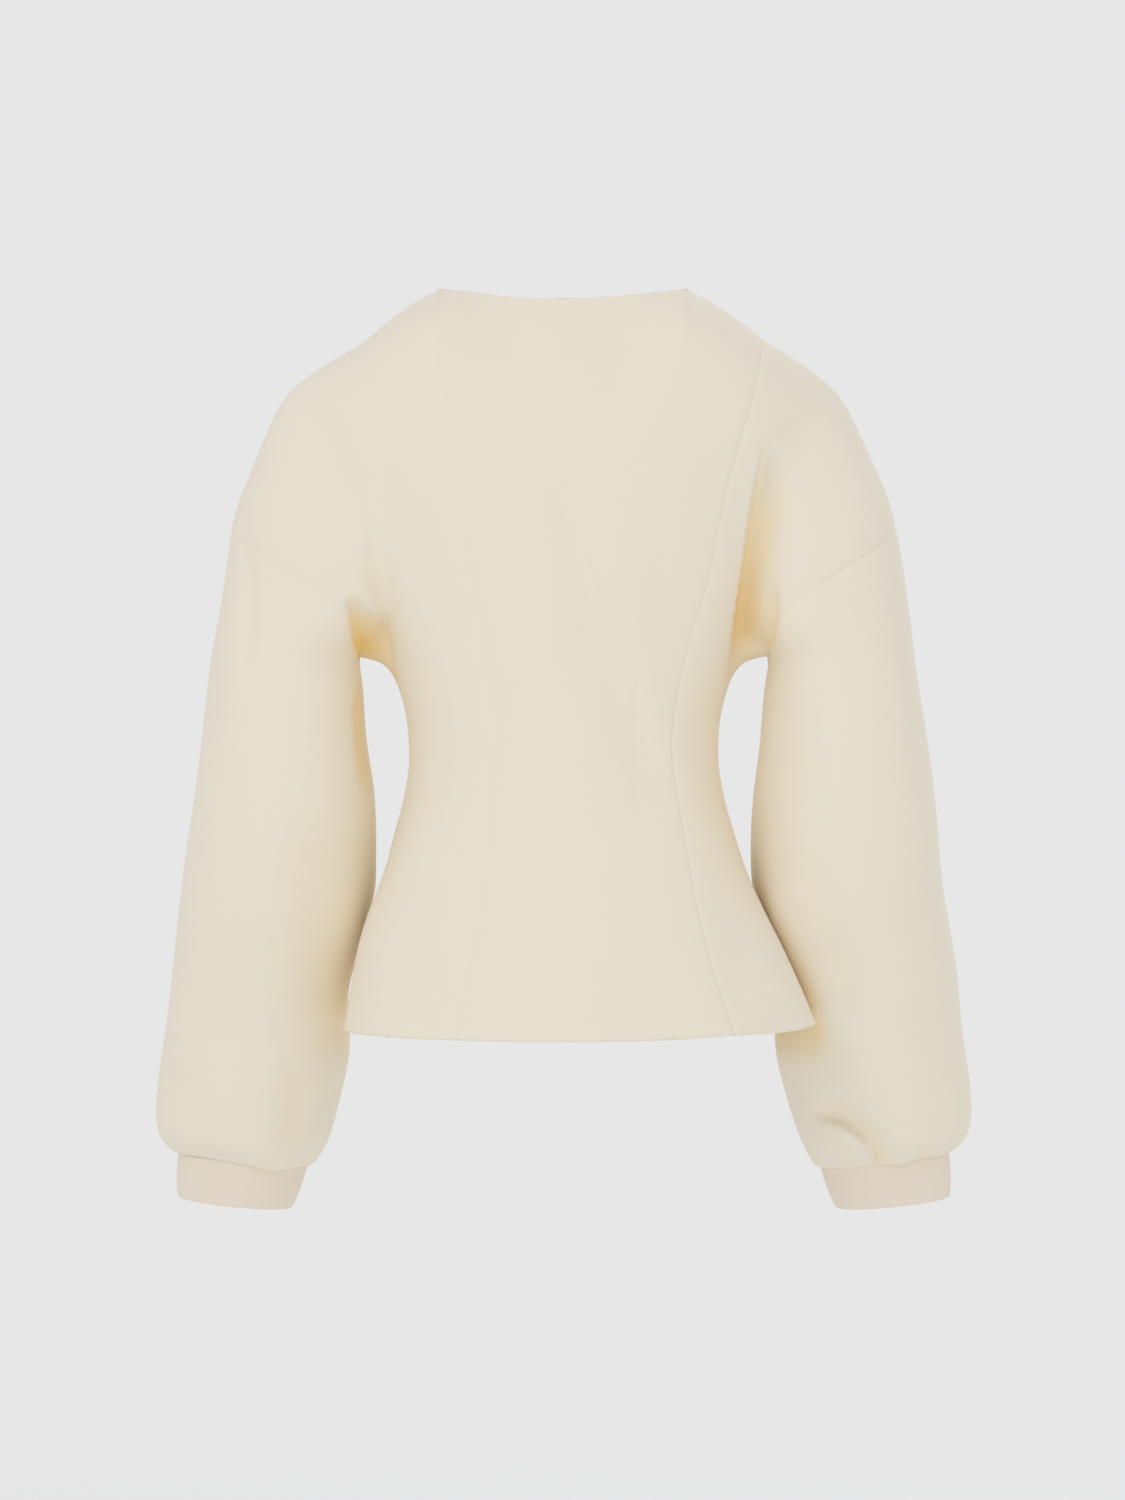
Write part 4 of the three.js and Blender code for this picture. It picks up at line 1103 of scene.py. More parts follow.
def add_node(tree, kind, inputs=(), **settings):
    """One node with its settings. An input is a value, another node's socket, or a node for its first."""
    node = tree.nodes.new(kind)
    for name, value in settings.items():
        setattr(node, name, value)
    for key, value in dict(inputs).items():
        socket = node.inputs[key]
        if isinstance(value, bpy.types.Node):
            value = value.outputs[0]
        if isinstance(value, bpy.types.NodeSocket):
            tree.links.new(value, socket)
        else:
            socket.default_value = value
    return node


def new_tree(name, inputs):
    """A Geometry Nodes tree with named inputs, and its group input and output nodes."""
    tree = bpy.data.node_groups.new(name, "GeometryNodeTree")
    tree.interface.new_socket("Geometry", in_out="INPUT", socket_type="NodeSocketGeometry")
    for label, kind, value in inputs:
        socket = tree.interface.new_socket(label, in_out="INPUT", socket_type=kind)
        if value is not None:
            socket.default_value = value
    tree.interface.new_socket("Geometry", in_out="OUTPUT", socket_type="NodeSocketGeometry")
    return tree, tree.nodes.new("NodeGroupInput"), tree.nodes.new("NodeGroupOutput")


def close_tree(tree, shape, given, result):
    """The end of every tree: its instances become a plain mesh, shaded smooth, in the material given."""
    real = add_node(tree, "GeometryNodeRealizeInstances", {0: shape})
    smooth_ = add_node(tree, "GeometryNodeSetShadeSmooth", {0: real})
    painted = add_node(tree, "GeometryNodeSetMaterial",
                       {"Geometry": smooth_, "Material": given.outputs["Material"]})
    tree.links.new(painted.outputs[0], result.inputs[0])
    return tree


def grow(name, tree, values, material, base=None):
    """Runs a tree on an object and keeps the result as a plain mesh object."""
    source = base or bpy.data.objects.new(name + "_seed", bpy.data.meshes.new(name + "_seed"))
    if base is None:
        bpy.context.scene.collection.objects.link(source)
    modifier = source.modifiers.new("grow", "NODES")
    modifier.node_group = tree
    sockets = {s.name: s.identifier for s in tree.interface.items_tree if s.in_out == "INPUT"}
    for label, value in values.items():
        modifier[sockets[label]] = value
    modifier[sockets["Material"]] = material
    view = bpy.context.evaluated_depsgraph_get()
    mesh = bpy.data.meshes.new_from_object(source.evaluated_get(view), depsgraph=view)
    mesh.name = name
    source.modifiers.remove(modifier)
    bpy.data.objects.remove(source)
    made = bpy.data.objects.new(name, mesh)
    bpy.context.scene.collection.objects.link(made)
    return made


# %% [markdown]
# ## Materials
# The cloth is a double knit of viscose, nylon and a little elastane: two fine jersey faces knitted
# together. Its loops are under a millimetre, its surface is matte with a faint nap, and its cream looks
# warmer deep in the folds and where body and sleeve stand close. The light gives only part of that: the
# rest is painted shade in the folds and painted bounce light between body and sleeve, kept on the cloth
# as an attribute, which the material mixes into its colour.

# %% Colours and the knit
def linear(hex_colour):
    """An sRGB hex colour as linear RGBA."""
    parts = [int(hex_colour[k:k + 2], 16) / 255 for k in (1, 3, 5)]
    return [c / 12.92 if c <= 0.04045 else ((c + 0.055) / 1.055) ** 2.4 for c in parts] + [1.0]


LOOP_WIDE = 0.9 * MM  # a loop of the knit, drawn about a third wider than it is so that it can show
LOOP_HIGH = 0.7 * MM
LOOP_LEAN = 1.9  # radians by which a loop's two legs run ahead of its middle


def emptied(block):
    """The node tree of a material or a world, with nothing in it yet."""
    block.use_nodes = True
    block.node_tree.nodes.clear()
    return block.node_tree


def knit_material(name, light, deep, painted_warm_shade, loop_depth):
    """Matte double knit: a grid of V-shaped loops in the cloth's own across and along."""
    material = bpy.data.materials.new(name)
    tree = emptied(material)
    uv = add_node(tree, "ShaderNodeUVMap", uv_map="cloth")
    split = add_node(tree, "ShaderNodeSeparateXYZ", {0: uv})
    # The two legs of a loop lean towards each other, so each course of loops is a row of Vs.
    wale = add_node(tree, MATHS, {0: split.outputs["X"], 1: 2 * math.pi / LOOP_WIDE}, operation="MULTIPLY")
    half_wale = add_node(tree, MATHS, {0: wale, 1: 0.5}, operation="MULTIPLY")
    sideways = add_node(tree, MATHS, {0: half_wale}, operation="SINE")
    from_middle = add_node(tree, MATHS, {0: sideways}, operation="ABSOLUTE")
    lean = add_node(tree, MATHS, {0: from_middle, 1: LOOP_LEAN}, operation="MULTIPLY")
    along = add_node(tree, MATHS, {0: split.outputs["Y"], 1: 2 * math.pi / LOOP_HIGH}, operation="MULTIPLY")
    course = add_node(tree, MATHS, {0: along, 1: lean}, operation="ADD")
    swell = add_node(tree, MATHS, {0: course}, operation="SINE")
    shallow = add_node(tree, MATHS, {0: swell, 1: 0.35}, operation="MULTIPLY")
    raised = add_node(tree, MATHS, {0: shallow, 1: 0.65}, operation="ADD")
    across = add_node(tree, MATHS, {0: half_wale}, operation="COSINE")
    legs = add_node(tree, MATHS, {0: across}, operation="ABSOLUTE")
    loops = add_node(tree, MATHS, {0: legs, 1: raised}, operation="MULTIPLY")
    place_ = add_node(tree, "ShaderNodeTexCoord").outputs["Object"]
    fuzz = add_node(tree, "ShaderNodeTexNoise",
                    {"Vector": place_, "Scale": 900.0, "Detail": 2.0, "Roughness": 0.6})
    cloud = add_node(tree, "ShaderNodeTexNoise",
                     {"Vector": place_, "Scale": 9.0, "Detail": 3.0, "Roughness": 0.5})
    nap = add_node(tree, MATHS, {0: fuzz, 1: 0.8}, operation="MULTIPLY")
    height = add_node(tree, MATHS, {0: loops, 1: nap}, operation="ADD")
    bump = add_node(tree, "ShaderNodeBump", {"Strength": 0.35, "Distance": loop_depth, "Height": height})
    drift = add_node(tree, MATHS, {0: cloud, 1: 0.5}, operation="MULTIPLY")
    loop_tone = add_node(tree, MATHS, {0: loops, 1: 0.12}, operation="MULTIPLY")
    tone = add_node(tree, MATHS, {0: drift, 1: loop_tone}, operation="ADD")
    colour = add_node(tree, "ShaderNodeMix", {0: tone, 6: linear(deep), 7: linear(light)}, data_type="RGBA")
    # Painted shade and painted bounce light: the attribute mixes the third colour in.
    painted_shade_attribute = add_node(tree, "ShaderNodeAttribute", attribute_name="painted_shade_share")
    with_painted_shade = add_node(tree, "ShaderNodeMix",
                      {0: painted_shade_attribute.outputs["Fac"], 6: colour.outputs[2], 7: linear(painted_warm_shade)}, data_type="RGBA")
    shader = add_node(tree, "ShaderNodeBsdfPrincipled", {
        "Base Color": with_painted_shade.outputs[2], "Roughness": 0.92, "Normal": bump.outputs[0],
        "Specular IOR Level": 0.25, "Sheen Weight": 0.12, "Sheen Roughness": 0.5,
    })
    add_node(tree, "ShaderNodeOutputMaterial", {0: shader.outputs[0]})
    return material


# The third colour of each knit is the warmer cream of the painted shade.
knit = knit_material("matte cream double knit", "#f9efdc", "#f6ebd5", "#f6d07c", 0.12 * MM)
cuff_knit = knit_material("cream double knit folded double", "#f6e9d6", "#f2e4cf", "#f6d07c", 0.12 * MM)
for made in cloth.values():
    made["obj"].data.materials.append(knit)

# %% The cuff's tree
CUFF_FLAT = 1.5  # a layer of folded knit in mm, so the band is two of them thick
# The rest is in metres, as Geometry Nodes works.
CUFF_HALF_WIDE, CUFF_HALF_DEEP, CUFF_HIGH = 0.0455, 0.0355, 0.035
CUFF_GIRTH = 0.27
CUFF_EVERY = 0.0011  # between the points of the section
CUFF_OUT = 0.0032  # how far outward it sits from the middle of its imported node
CUFF_NARROWS = 0.12  # the share of its width by which it narrows over its height
CUFF_SLOPE, CUFF_LEAN = 0.105, 0.19  # the rise of its rims across it, and its drift outward downwards


def cuff_tree():
    """The tree of one cuff: an ellipse swept by a rounded section, then narrowed, bulged and tilted."""
    tree, given, result = new_tree("folded cuff", [
        ("Half width", "NodeSocketFloat", 0.046), ("Half depth", "NodeSocketFloat", 0.036),
        ("Height", "NodeSocketFloat", 0.036), ("Wall", "NodeSocketFloat", 0.003),
        ("Narrowing", "NodeSocketFloat", 0.14), ("Tilt", "NodeSocketFloat", 0.1),
        ("Lean", "NodeSocketFloat", 0.0),
        ("Bulge", "NodeSocketFloat", 0.0012), ("Centre", "NodeSocketVector", None),
        ("Material", "NodeSocketMaterial", None),
    ])
    asked = given.outputs
    circle = add_node(tree, "GeometryNodeCurvePrimitiveCircle", {"Resolution": 144, "Radius": 1.0})
    ring = add_node(tree, "GeometryNodeSplineParameter")
    kept_ring = add_node(tree, "GeometryNodeCaptureAttribute")
    kept_ring.capture_items.new("FLOAT", "around")
    tree.links.new(circle.outputs[0], kept_ring.inputs[0])
    tree.links.new(ring.outputs["Factor"], kept_ring.inputs[1])
    # The ellipse first, so that the swept wall has the same thickness all round.
    stretch = add_node(tree, "ShaderNodeCombineXYZ", {0: asked["Half width"], 1: asked["Half depth"], 2: 1.0})
    here = add_node(tree, "GeometryNodeInputPosition")
    wide = add_node(tree, "ShaderNodeVectorMath", {0: here, 1: stretch}, operation="MULTIPLY")
    ellipse = add_node(tree, "GeometryNodeSetPosition", {"Geometry": kept_ring, "Position": wide})
    section = add_node(tree, "GeometryNodeCurvePrimitiveQuadrilateral",
                       {"Width": asked["Wall"], "Height": asked["Height"]})
    half_wall = add_node(tree, MATHS, {0: asked["Wall"], 1: 0.49}, operation="MULTIPLY")
    rounded = add_node(tree, "GeometryNodeFilletCurve",
                       {"Curve": section, "Count": 4, "Radius": half_wall}, mode="POLY")
    fine = add_node(tree, "GeometryNodeResampleCurve",
                    {"Curve": rounded, "Length": CUFF_EVERY}, mode="LENGTH")
    swept = add_node(tree, "GeometryNodeCurveToMesh", {"Curve": ellipse, "Profile Curve": fine})
    place_ = add_node(tree, "GeometryNodeInputPosition")
    xyz = add_node(tree, "ShaderNodeSeparateXYZ", {0: place_}).outputs
    # It narrows downwards to the wrist, and its belly is a parabola that ends at both rims.
    level = add_node(tree, MATHS, {0: xyz["Z"], 1: asked["Height"]}, operation="DIVIDE")
    less = add_node(tree, MATHS, {0: level, 1: asked["Narrowing"]}, operation="MULTIPLY")
    narrowed = add_node(tree, MATHS, {0: less, 1: 1.0}, operation="ADD")
    level_squared = add_node(tree, MATHS, {0: level, 1: level}, operation="MULTIPLY")
    inside_rims = add_node(tree, MATHS, {0: 0.25, 1: level_squared}, operation="SUBTRACT")
    bulged = add_node(tree, MATHS, {0: inside_rims, 1: asked["Bulge"]}, operation="MULTIPLY")
    belly = add_node(tree, MATHS, {0: bulged, 1: 4.0}, operation="MULTIPLY")
    belly_share = add_node(tree, MATHS, {0: belly, 1: asked["Half width"]}, operation="DIVIDE")
    grown = add_node(tree, MATHS, {0: narrowed, 1: belly_share}, operation="ADD")
    x = add_node(tree, MATHS, {0: xyz["X"], 1: grown}, operation="MULTIPLY")
    y = add_node(tree, MATHS, {0: xyz["Y"], 1: grown}, operation="MULTIPLY")
    rise = add_node(tree, MATHS, {0: x, 1: asked["Tilt"]}, operation="MULTIPLY")
    z = add_node(tree, MATHS, {0: xyz["Z"], 1: rise}, operation="ADD")
    shift = add_node(tree, MATHS, {0: xyz["Z"], 1: asked["Lean"]}, operation="MULTIPLY")
    leaned = add_node(tree, MATHS, {0: x, 1: shift}, operation="SUBTRACT")
    moved = add_node(tree, "ShaderNodeCombineXYZ", {0: leaned, 1: y, 2: z})
    centred = add_node(tree, "ShaderNodeVectorMath", {0: moved, 1: asked["Centre"]})
    shaped = add_node(tree, "GeometryNodeSetPosition", {"Geometry": swept, "Position": centred})
    girth = add_node(tree, MATHS, {0: kept_ring.outputs[1], 1: CUFF_GIRTH}, operation="MULTIPLY")
    uv = add_node(tree, "ShaderNodeCombineXYZ", {0: girth, 1: xyz["Z"]})
    stored = add_node(tree, "GeometryNodeStoreNamedAttribute",
                      {"Geometry": shaped, "Name": "cloth", "Value": uv}, data_type="FLOAT2", domain="CORNER")
    return close_tree(tree, stored, given, result)


# %% Make the cuffs
cuffs = {}
CUFF = cuff_tree()
for side, sign in (("left", 1), ("right", -1)):
    low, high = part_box(f"cuff_{side}")
    centre = ((low[0] + high[0]) / 2 + sign * CUFF_OUT, (low[1] + high[1]) / 2, (low[2] + high[2]) / 2)
    cuffs[side] = grow(f"cloth_cuff_{side}", CUFF, {
        "Half width": CUFF_HALF_WIDE, "Half depth": CUFF_HALF_DEEP, "Height": CUFF_HIGH,
        "Wall": 2 * CUFF_FLAT * MM, "Narrowing": CUFF_NARROWS, "Tilt": sign * CUFF_SLOPE,
        "Lean": sign * CUFF_LEAN, "Centre": centre,
    }, cuff_knit)
    print(cuffs[side].name, len(cuffs[side].data.polygons), "faces")

# %% [markdown]
# ## Hooks and eyes
# Four hooks and eyes hold the front edges together on the inside. Each is one length of nickel-plated
# steel wire, about 0.8 mm thick, bent so that its two ends close into round loops to sew it down by.
# The bends are a few listed points, and half of each wire mirrors the other half. A Geometry
# Nodes tree rounds the bends and gives the wire its thickness.

# %% A tree that makes a wire from a bent line
def wire_tree():
    """The tree of a bent wire: the line's bends are rounded, and a small circle is swept along it."""
    tree, given, result = new_tree("bent wire", [
        ("Radius", "NodeSocketFloat", 0.0004), ("Steps", "NodeSocketInt", 5),
        ("Material", "NodeSocketMaterial", None),
    ])
    line = add_node(tree, "GeometryNodeMeshToCurve", {0: given.outputs["Geometry"]})
    bends = add_node(tree, "GeometryNodeCurveSplineType", {0: line}, spline_type="CATMULL_ROM")
    fine = add_node(tree, "GeometryNodeSetSplineResolution", {0: bends, "Resolution": given.outputs["Steps"]})
    section = add_node(tree, "GeometryNodeCurvePrimitiveCircle",
                       {"Resolution": 10, "Radius": given.outputs["Radius"]})
    wire = add_node(tree, "GeometryNodeCurveToMesh",
                    {"Curve": fine, "Profile Curve": section, "Fill Caps": True})
    return close_tree(tree, wire, given, result)


def chains(name, runs, ups=None):
    """A mesh of bare lines, one for each run of points in millimetres, that a tree can grow along."""
    edges, begin = [], 0
    for run in runs:
        edges += [(begin + k, begin + k + 1) for k in range(len(run) - 1)]
        begin += len(run)
    mesh = bpy.data.meshes.new(name)
    mesh.from_pydata((np.concatenate(runs) * MM).tolist(), edges, [])
    if ups is not None:
        attribute = mesh.attributes.new("up", "FLOAT_VECTOR", "POINT")
        attribute.data.foreach_set("vector", np.concatenate(ups).reshape(-1))
    obj = bpy.data.objects.new(name, mesh)
    bpy.context.scene.collection.objects.link(obj)
    return obj


# %% The bends of a hook and of an eye
LOOP_RADIUS = 1.25
LOOP_TURN = 320
WIRE_LIES = 0.45  # the middle of the wire this far in from the cloth
# Points across from the front edges, up, and deep inside the cloth, in mm: one half, from its loop on.
HOOK = dict(loop=(-9.6, 1.75), sense=1, bends=[
    (-6, 0.5, 0.5), (-4, 0.5, 1.7), (-2.4, 0.5, 2.3), (-0.9, 0.45, 1.7), (-0.4, 0.3, 0.8), (-0.35, 0, 0.7),
])
EYE = dict(loop=(9.6, 4.05), sense=-1, bends=[
    (4, 2.7, WIRE_LIES), (-0.5, 2.2, WIRE_LIES), (-2, 1.3, WIRE_LIES), (-2.4, 0, WIRE_LIES),
])


def bent(shape):
    """The whole wire: a loop, the bends, and the same again mirrored."""
    turn = np.radians(-90 - shape["sense"] * np.linspace(LOOP_TURN, 0, 10))
    across, up = shape["loop"]
    loop = [(across + LOOP_RADIUS * math.cos(a), up + LOOP_RADIUS * math.sin(a), WIRE_LIES) for a in turn]
    half = np.array(loop + shape["bends"])
    return np.concatenate([half, half[-2::-1] * (1, -1, 1)])


edge_ids = PIECES["front_left"]["grids"][0]["ids"][0]
edge_z, edge_y = skin[edge_ids, 2][::-1], skin[edge_ids, 1][::-1]
EDGE_STEP = 5.0


def inside_edge(height, points):
    """Places points (across, up, deep) on the inside of the front edges at a height."""
    heights = (height + EDGE_STEP, height - EDGE_STEP, height)
    y_high, y_low, y = (float(np.interp(z, edge_z, edge_y)) for z in heights)
    up = unit(np.array([0, y_high - y_low, 2 * EDGE_STEP]))
    inward = np.array([0, up[2], -up[1]])
    points = np.asarray(points, float)
    origin = np.array([0, y, height]) + inward * (CLOTH + TURNED["edge"][0])
    return origin + points[:, :1] * (1, 0, 0) + points[:, 1:2] * up + points[:, 2:] * inward, inward


# %% Steel, thread, and the eight wires
def plain_material(name, colour, **settings):
    """A material of one colour, with the settings of its surface."""
    material = bpy.data.materials.new(name)
    tree = emptied(material)
    shader = add_node(tree, "ShaderNodeBsdfPrincipled", {"Base Color": linear(colour), **settings})
    add_node(tree, "ShaderNodeOutputMaterial", {0: shader})
    return material


# Drawn steel wire under nickel: bright, a little soft from the plating bath.
steel = plain_material("nickel-plated steel wire", "#cdcac4", **{"Metallic": 1.0, "Roughness": 0.28})
# Spun polyester has a soft sheen and is dyed to match the knit.
thread = plain_material("cream spun polyester thread", "#efe6d2", **{"Roughness": 0.6, "Sheen Weight": 0.2})
WIRE = wire_tree()
WIRE_RADIUS = 0.0004  # metres
SEWN_TURNS = (-60, 250, 24)  # degrees round a loop where its sewing starts, ends and steps
SEWN_DEEP = 0.1  # the sewing lies this far in from the cloth, in mm
sewn_runs, sewn_ups, fastenings = [], [], []
for number in range(1, 5):
    for kind, shape in (("hook", HOOK), ("eye", EYE)):
        node = f"{kind}_{number}"
        low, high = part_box(node)
        height = (low[2] + high[2]) / 2 / MM
        run, inward = inside_edge(height, bent(shape))
        wire = grow(f"wire_{node}", WIRE, {"Radius": WIRE_RADIUS, "Steps": 5}, steel, chains(node, [run]))
        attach(wire, "root")
        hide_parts(node)
        fastenings.append(wire)
        for side_ in (1, -1):
            turn = np.radians(np.arange(*SEWN_TURNS) * side_)
            across = shape["loop"][0] + LOOP_RADIUS * np.cos(turn)
            up = side_ * shape["loop"][1] + LOOP_RADIUS * np.sin(turn)
            at = np.stack([across, up, np.full(len(turn), SEWN_DEEP)], axis=-1)
            run, inward = inside_edge(height, at)
            sewn_runs.append(run)
            sewn_ups.append(np.tile(inward, (len(run), 1)))
print(len(fastenings), "wires")

# %% [markdown]
# ## Stitches
# Inside, the raw edges of the seams and of the turnings are overlocked: thread is wrapped round the edge,
# stitch after stitch. It runs beside the seams, round the neck, down the front edges and round the hem;
# the cuffs have none. The same Geometry Nodes tree walks along any line, sets a small arc of thread at
# even steps across it, and turns each to the cloth. It sews the hooks and eyes on too, with shorter and
# closer stitches.

# %% A tree that lays stitches along a line
def stitch_tree():
    """The tree of a row of stitches: small arcs of thread at even steps, each turned to line and cloth."""
    tree, given, result = new_tree("row of stitches", [
        ("Spacing", "NodeSocketFloat", 0.0026), ("Length", "NodeSocketFloat", 0.0042),
        ("Rise", "NodeSocketFloat", 0.0006), ("Drop", "NodeSocketFloat", 0.0011),
        ("Slant", "NodeSocketFloat", 0.0007), ("Thread", "NodeSocketFloat", 0.00016),
        ("Seed", "NodeSocketInt", 3), ("Material", "NodeSocketMaterial", None),
    ])
    asked = given.outputs
    line = add_node(tree, "GeometryNodeMeshToCurve", {0: asked["Geometry"]})
    even = add_node(tree, "GeometryNodeResampleCurve",
                    {"Curve": line, "Length": asked["Spacing"]}, mode="LENGTH")
    tangent = add_node(tree, "GeometryNodeInputTangent")
    up = add_node(tree, "GeometryNodeInputNamedAttribute", {"Name": "up"}, data_type="FLOAT_VECTOR")
    ahead = add_node(tree, "FunctionNodeAlignRotationToVector", {"Vector": tangent}, axis="X")
    upright = add_node(tree, "FunctionNodeAlignRotationToVector", {"Rotation": ahead, "Vector": up},
                       axis="Z", pivot_axis="X")
    half = add_node(tree, MATHS, {0: asked["Length"], 1: 0.5}, operation="MULTIPLY")
    back = add_node(tree, MATHS, {0: asked["Slant"], 1: -1.0}, operation="MULTIPLY")
    other_half = add_node(tree, MATHS, {0: half, 1: -1.0}, operation="MULTIPLY")
    start = add_node(tree, "ShaderNodeCombineXYZ", {0: back, 1: other_half, 2: 0.0})
    past_middle = add_node(tree, MATHS, {0: half, 1: 0.4}, operation="MULTIPLY")
    high = add_node(tree, MATHS, {0: asked["Rise"], 1: 2.0}, operation="MULTIPLY")
    crown = add_node(tree, "ShaderNodeCombineXYZ", {0: 0.0, 1: past_middle, 2: high})
    deep = add_node(tree, MATHS, {0: asked["Drop"], 1: -1.0}, operation="MULTIPLY")
    end = add_node(tree, "ShaderNodeCombineXYZ", {0: asked["Slant"], 1: half, 2: deep})
    arc = add_node(tree, "GeometryNodeCurveQuadraticBezier",
                   {"Resolution": 4, "Start": start, "Middle": crown, "End": end})
    section = add_node(tree, "GeometryNodeCurvePrimitiveCircle", {"Resolution": 3, "Radius": asked["Thread"]})
    stitch = add_node(tree, "GeometryNodeCurveToMesh", {"Curve": arc, "Profile Curve": section})
    uneven = add_node(tree, "FunctionNodeRandomValue", {2: 0.88, 3: 1.08, "Seed": asked["Seed"]},
                      data_type="FLOAT")
    row = add_node(tree, "GeometryNodeInstanceOnPoints",
                   {"Points": even, "Instance": stitch, "Rotation": upright, "Scale": uneven.outputs[1]})
    return close_tree(tree, row, given, result)


# %% Where the overlocked edges run
EDGE_BACK = 0.6  # the stitches straddle a line this far in from the raw edge
OVERLOCKED = {name: ALLOWANCE[1] - EDGE_BACK for name in GROOVES}
OVERLOCKED |= {name: wide - EDGE_BACK for name, (_, wide) in TURNED.items()}
LIFT = 0.12  # how far the thread stands off the cloth


def run_beside(g, name, end, where):
    """The unbroken rows on the inside of the cloth that lie beside a seam, as far off as its raw edge."""
    d, ids, here = g["ends"][end], g["ids"], np.broadcast_to(where, g["ids"].shape)
    if "row" in end:
        d, ids, here = d.T, ids.T, here.T
    if "last" in end:
        d, ids, here = d[::-1], ids[::-1], here[::-1]
    i = np.argmax(d > OVERLOCKED[name], axis=0)
    good = (i > 0) & here[0] & (from_pit[ids[0]] > PIT_CLEAR)
    keep = np.flatnonzero(good)
    # A row that breaks off, as over the neck, goes on as a row of its own.
    parts = np.split(keep, np.flatnonzero(np.diff(keep) > 1) + 1)
    return [row_of(part, i, d, ids, name) for part in parts if len(part) > 2]


def row_of(keep, i, d, ids, name):
    """One unbroken row: its points and the way up at each."""
    distance = OVERLOCKED[name]
    i = i[keep]
    before, after = d[i - 1, keep], d[i, keep]
    t = ((distance - before) / (after - before))[:, None]
    a, b = ids[i - 1, keep], ids[i, keep]
    up = -unit(mix(normal[a], normal[b], t))
    deep = CLOTH + (TURNED[name][0] if name in TURNED else ALLOWANCE[0]) + LIFT
    run = mix(skin[a], skin[b], t) + up * deep
    away = skin[b] - skin[a]
    leftward = np.cross(up, np.gradient(run, axis=0))
    return (run, up) if np.sum(leftward * away) > 0 else (run[::-1], up[::-1])


runs = [run_beside(g, *seam) for piece in PIECES.values() for g in piece["grids"] for seam in g["seams"]
        if seam[0] in OVERLOCKED]
runs = [run for found in runs for run in found]
STITCH = stitch_tree()
overlock = grow("overlock_thread", STITCH, {"Spacing": 0.0026, "Seed": 3}, thread,
                chains("raw edges", [run for run, _ in runs], [up for _, up in runs]))
sewing = grow("sewing_thread", STITCH, {
    "Spacing": 0.0006, "Length": 0.0017, "Rise": 0.0007, "Drop": 0.0, "Slant": 0.0001,
    "Thread": 0.00014, "Seed": 5,
}, thread, chains("loops", sewn_runs, sewn_ups))
for obj in (overlock, sewing):
    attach(obj, "root")
    print(obj.name, len(obj.data.polygons), "faces")

# %% [markdown]
# ## Fix every piece to the body
# The jacket has no joints, so everything rides on the one body. Each piece stands for its imported node,
# which is hidden.

# %% Ride and replace
for name, made in cloth.items():
    obj = made["obj"]
    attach(obj, "root")
    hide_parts(name)
for side, obj in cuffs.items():
    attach(obj, "root")
    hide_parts(f"cuff_{side}")

# %% [markdown]
# ## Floor, light and camera
# A plain studio: a pale floor as far below as a wearer's feet, a bright even surround, and four soft
# lights. The key stands at the upper left of the back view, a weak fill at its right, a stronger light
# near the camera, and the strongest one behind, which lights the front.

# %% Floor and surround
FLOOR_Z = -1.38
FLOOR_RADIUS = 3.0
FLOOR_CORNERS = 96
DAYLIGHT = [0.895, 0.919, 0.97, 1.0]  # the light is a little cool, which keeps the lit cream neutral
AMBIENT = 0.8


def floor_material():
    """Matt painted board that fades out at its rim into the surround."""
    material = bpy.data.materials.new("pale matt board")
    tree = emptied(material)
    place_ = add_node(tree, "ShaderNodeTexCoord")
    far = add_node(tree, "ShaderNodeVectorMath", {0: place_.outputs["Object"]}, operation="LENGTH")
    fade = add_node(tree, "ShaderNodeMapRange", {
        "Value": far.outputs["Value"], "From Min": 1.2, "From Max": 2.9, "To Min": 0.0, "To Max": 1.0,
    }, interpolation_type="SMOOTHSTEP")
    board = add_node(tree, "ShaderNodeBsdfPrincipled", {"Base Color": linear("#f4f4f2"), "Roughness": 0.9})
    clear = add_node(tree, "ShaderNodeBsdfTransparent")
    both = add_node(tree, "ShaderNodeMixShader", {0: fade, 1: board, 2: clear})
    add_node(tree, "ShaderNodeOutputMaterial", {0: both})
    return material


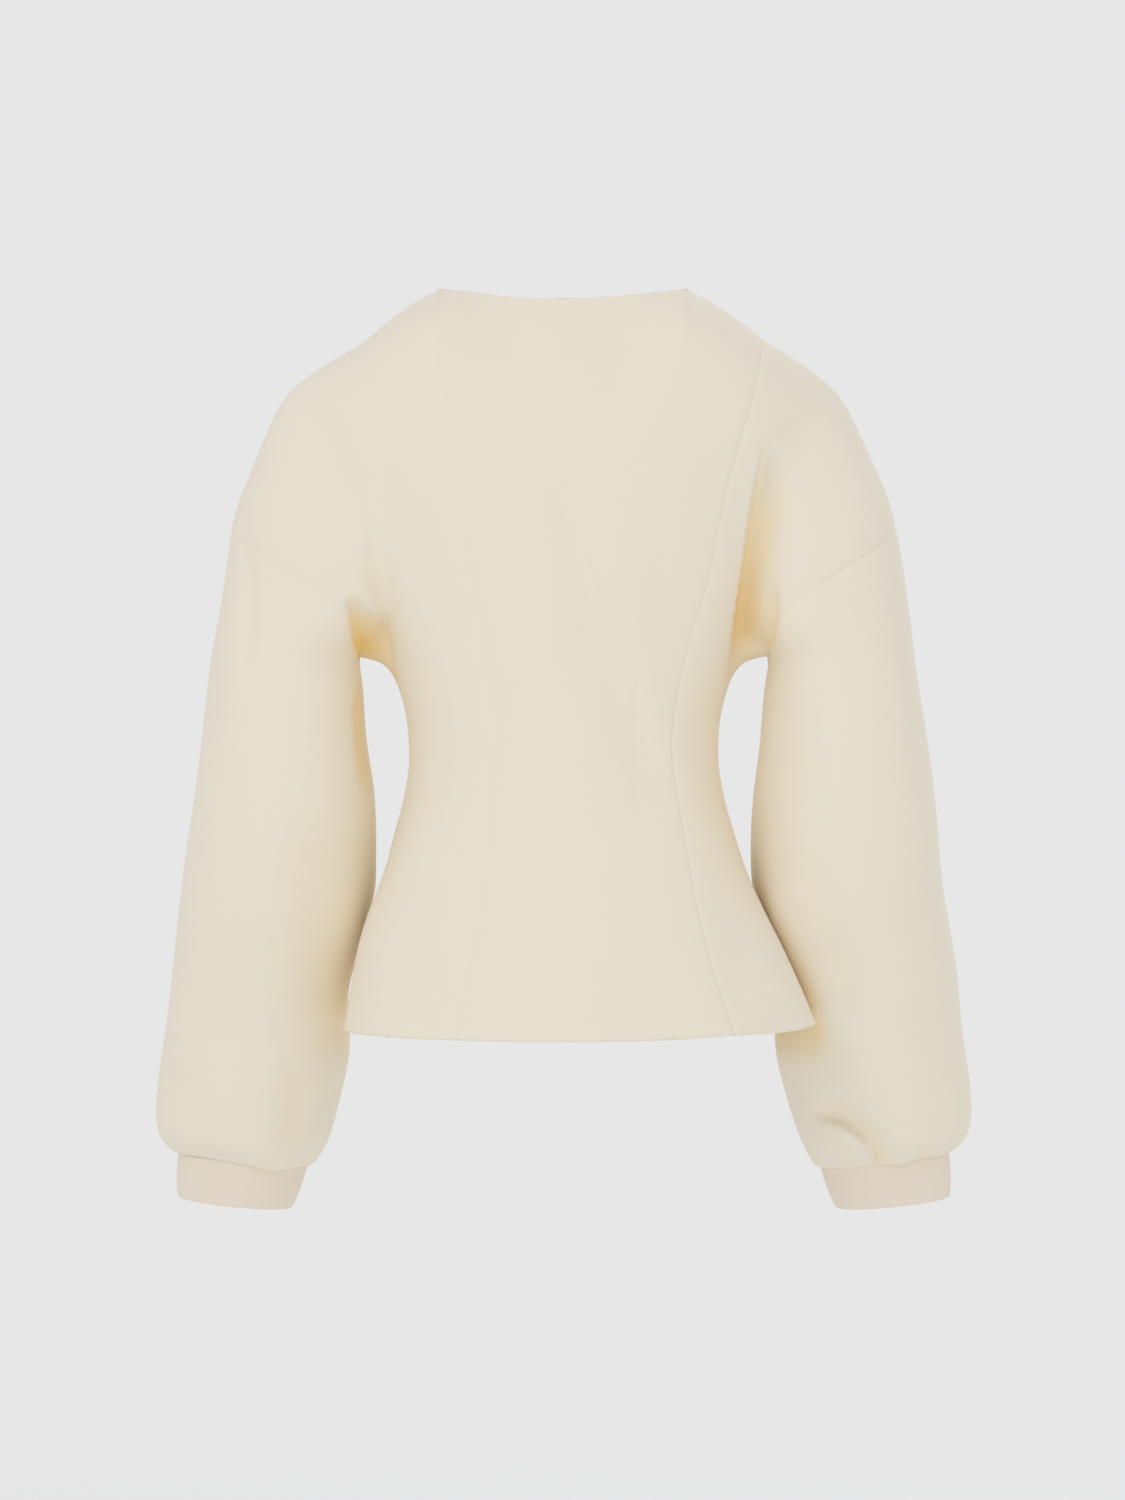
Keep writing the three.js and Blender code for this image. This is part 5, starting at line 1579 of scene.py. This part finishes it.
floor_mesh = bpy.data.meshes.new("floor")
turns = np.linspace(0, 2 * math.pi, FLOOR_CORNERS + 1)[:-1]
rim = [(FLOOR_RADIUS * math.cos(a), FLOOR_RADIUS * math.sin(a), 0) for a in turns]
floor_mesh.from_pydata(rim, [], [list(range(FLOOR_CORNERS))])
floor_mesh.materials.append(floor_material())
floor = bpy.data.objects.new("floor", floor_mesh)
floor.location.z = FLOOR_Z
bpy.context.scene.collection.objects.link(floor)
floor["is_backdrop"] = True

surround = bpy.data.worlds.new("studio surround")
tree = emptied(surround)
seen = add_node(tree, "ShaderNodeLightPath")
backdrop = add_node(tree, "ShaderNodeBackground", {"Color": linear("#e7e7e7"), "Strength": 1.0})
daylight = add_node(tree, "ShaderNodeBackground", {"Color": DAYLIGHT, "Strength": AMBIENT})
either = add_node(tree, "ShaderNodeMixShader", {0: seen.outputs["Is Camera Ray"], 1: daylight, 2: backdrop})
add_node(tree, "ShaderNodeOutputWorld", {0: either})
bpy.context.scene.world = surround
bpy.context.scene.view_settings.view_transform = "Standard"


# %% Lights and camera
def soft_light(name, place_, aim, size, power):
    """A square soft light that faces a point."""
    light = bpy.data.lights.new(name, "AREA")
    light.size = size
    light.energy = power
    light.color = DAYLIGHT[:3]
    obj = bpy.data.objects.new(name, light)
    obj.location = place_
    direction = np.array(aim) - np.array(place_)
    obj.rotation_euler = Vector(direction).to_track_quat("-Z", "Y").to_euler()
    bpy.context.scene.collection.objects.link(obj)
    return obj


middle = (0, 0, -0.33)
soft_light("key", (1.9, 2.3, 1.3), middle, 1.8, 9)
soft_light("fill", (-2.4, 1.8, -0.2), middle, 2.2, 2)
soft_light("facing", (0.1, 3.6, -0.1), middle, 1.6, 11)
soft_light("front", (-1.2, -2.6, 1.2), middle, 2.2, 20)

LENS, SENSOR = 89.6, 36  # mm
EYE_AT = (0.001, 2.8, -0.345)  # metres: level with the middle of the jacket, behind the wearer
camera = bpy.data.cameras.new("camera")
camera.lens = LENS
camera.sensor_width = SENSOR
eye = bpy.data.objects.new("camera", camera)
eye.location = EYE_AT
eye.rotation_euler = (math.radians(90), 0, math.radians(180))
bpy.context.scene.collection.objects.link(eye)
bpy.context.scene.camera = eye

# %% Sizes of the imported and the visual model
visual_box = [list(corner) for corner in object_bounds()]
print("visual model from", visual_box[0], "to", visual_box[1])
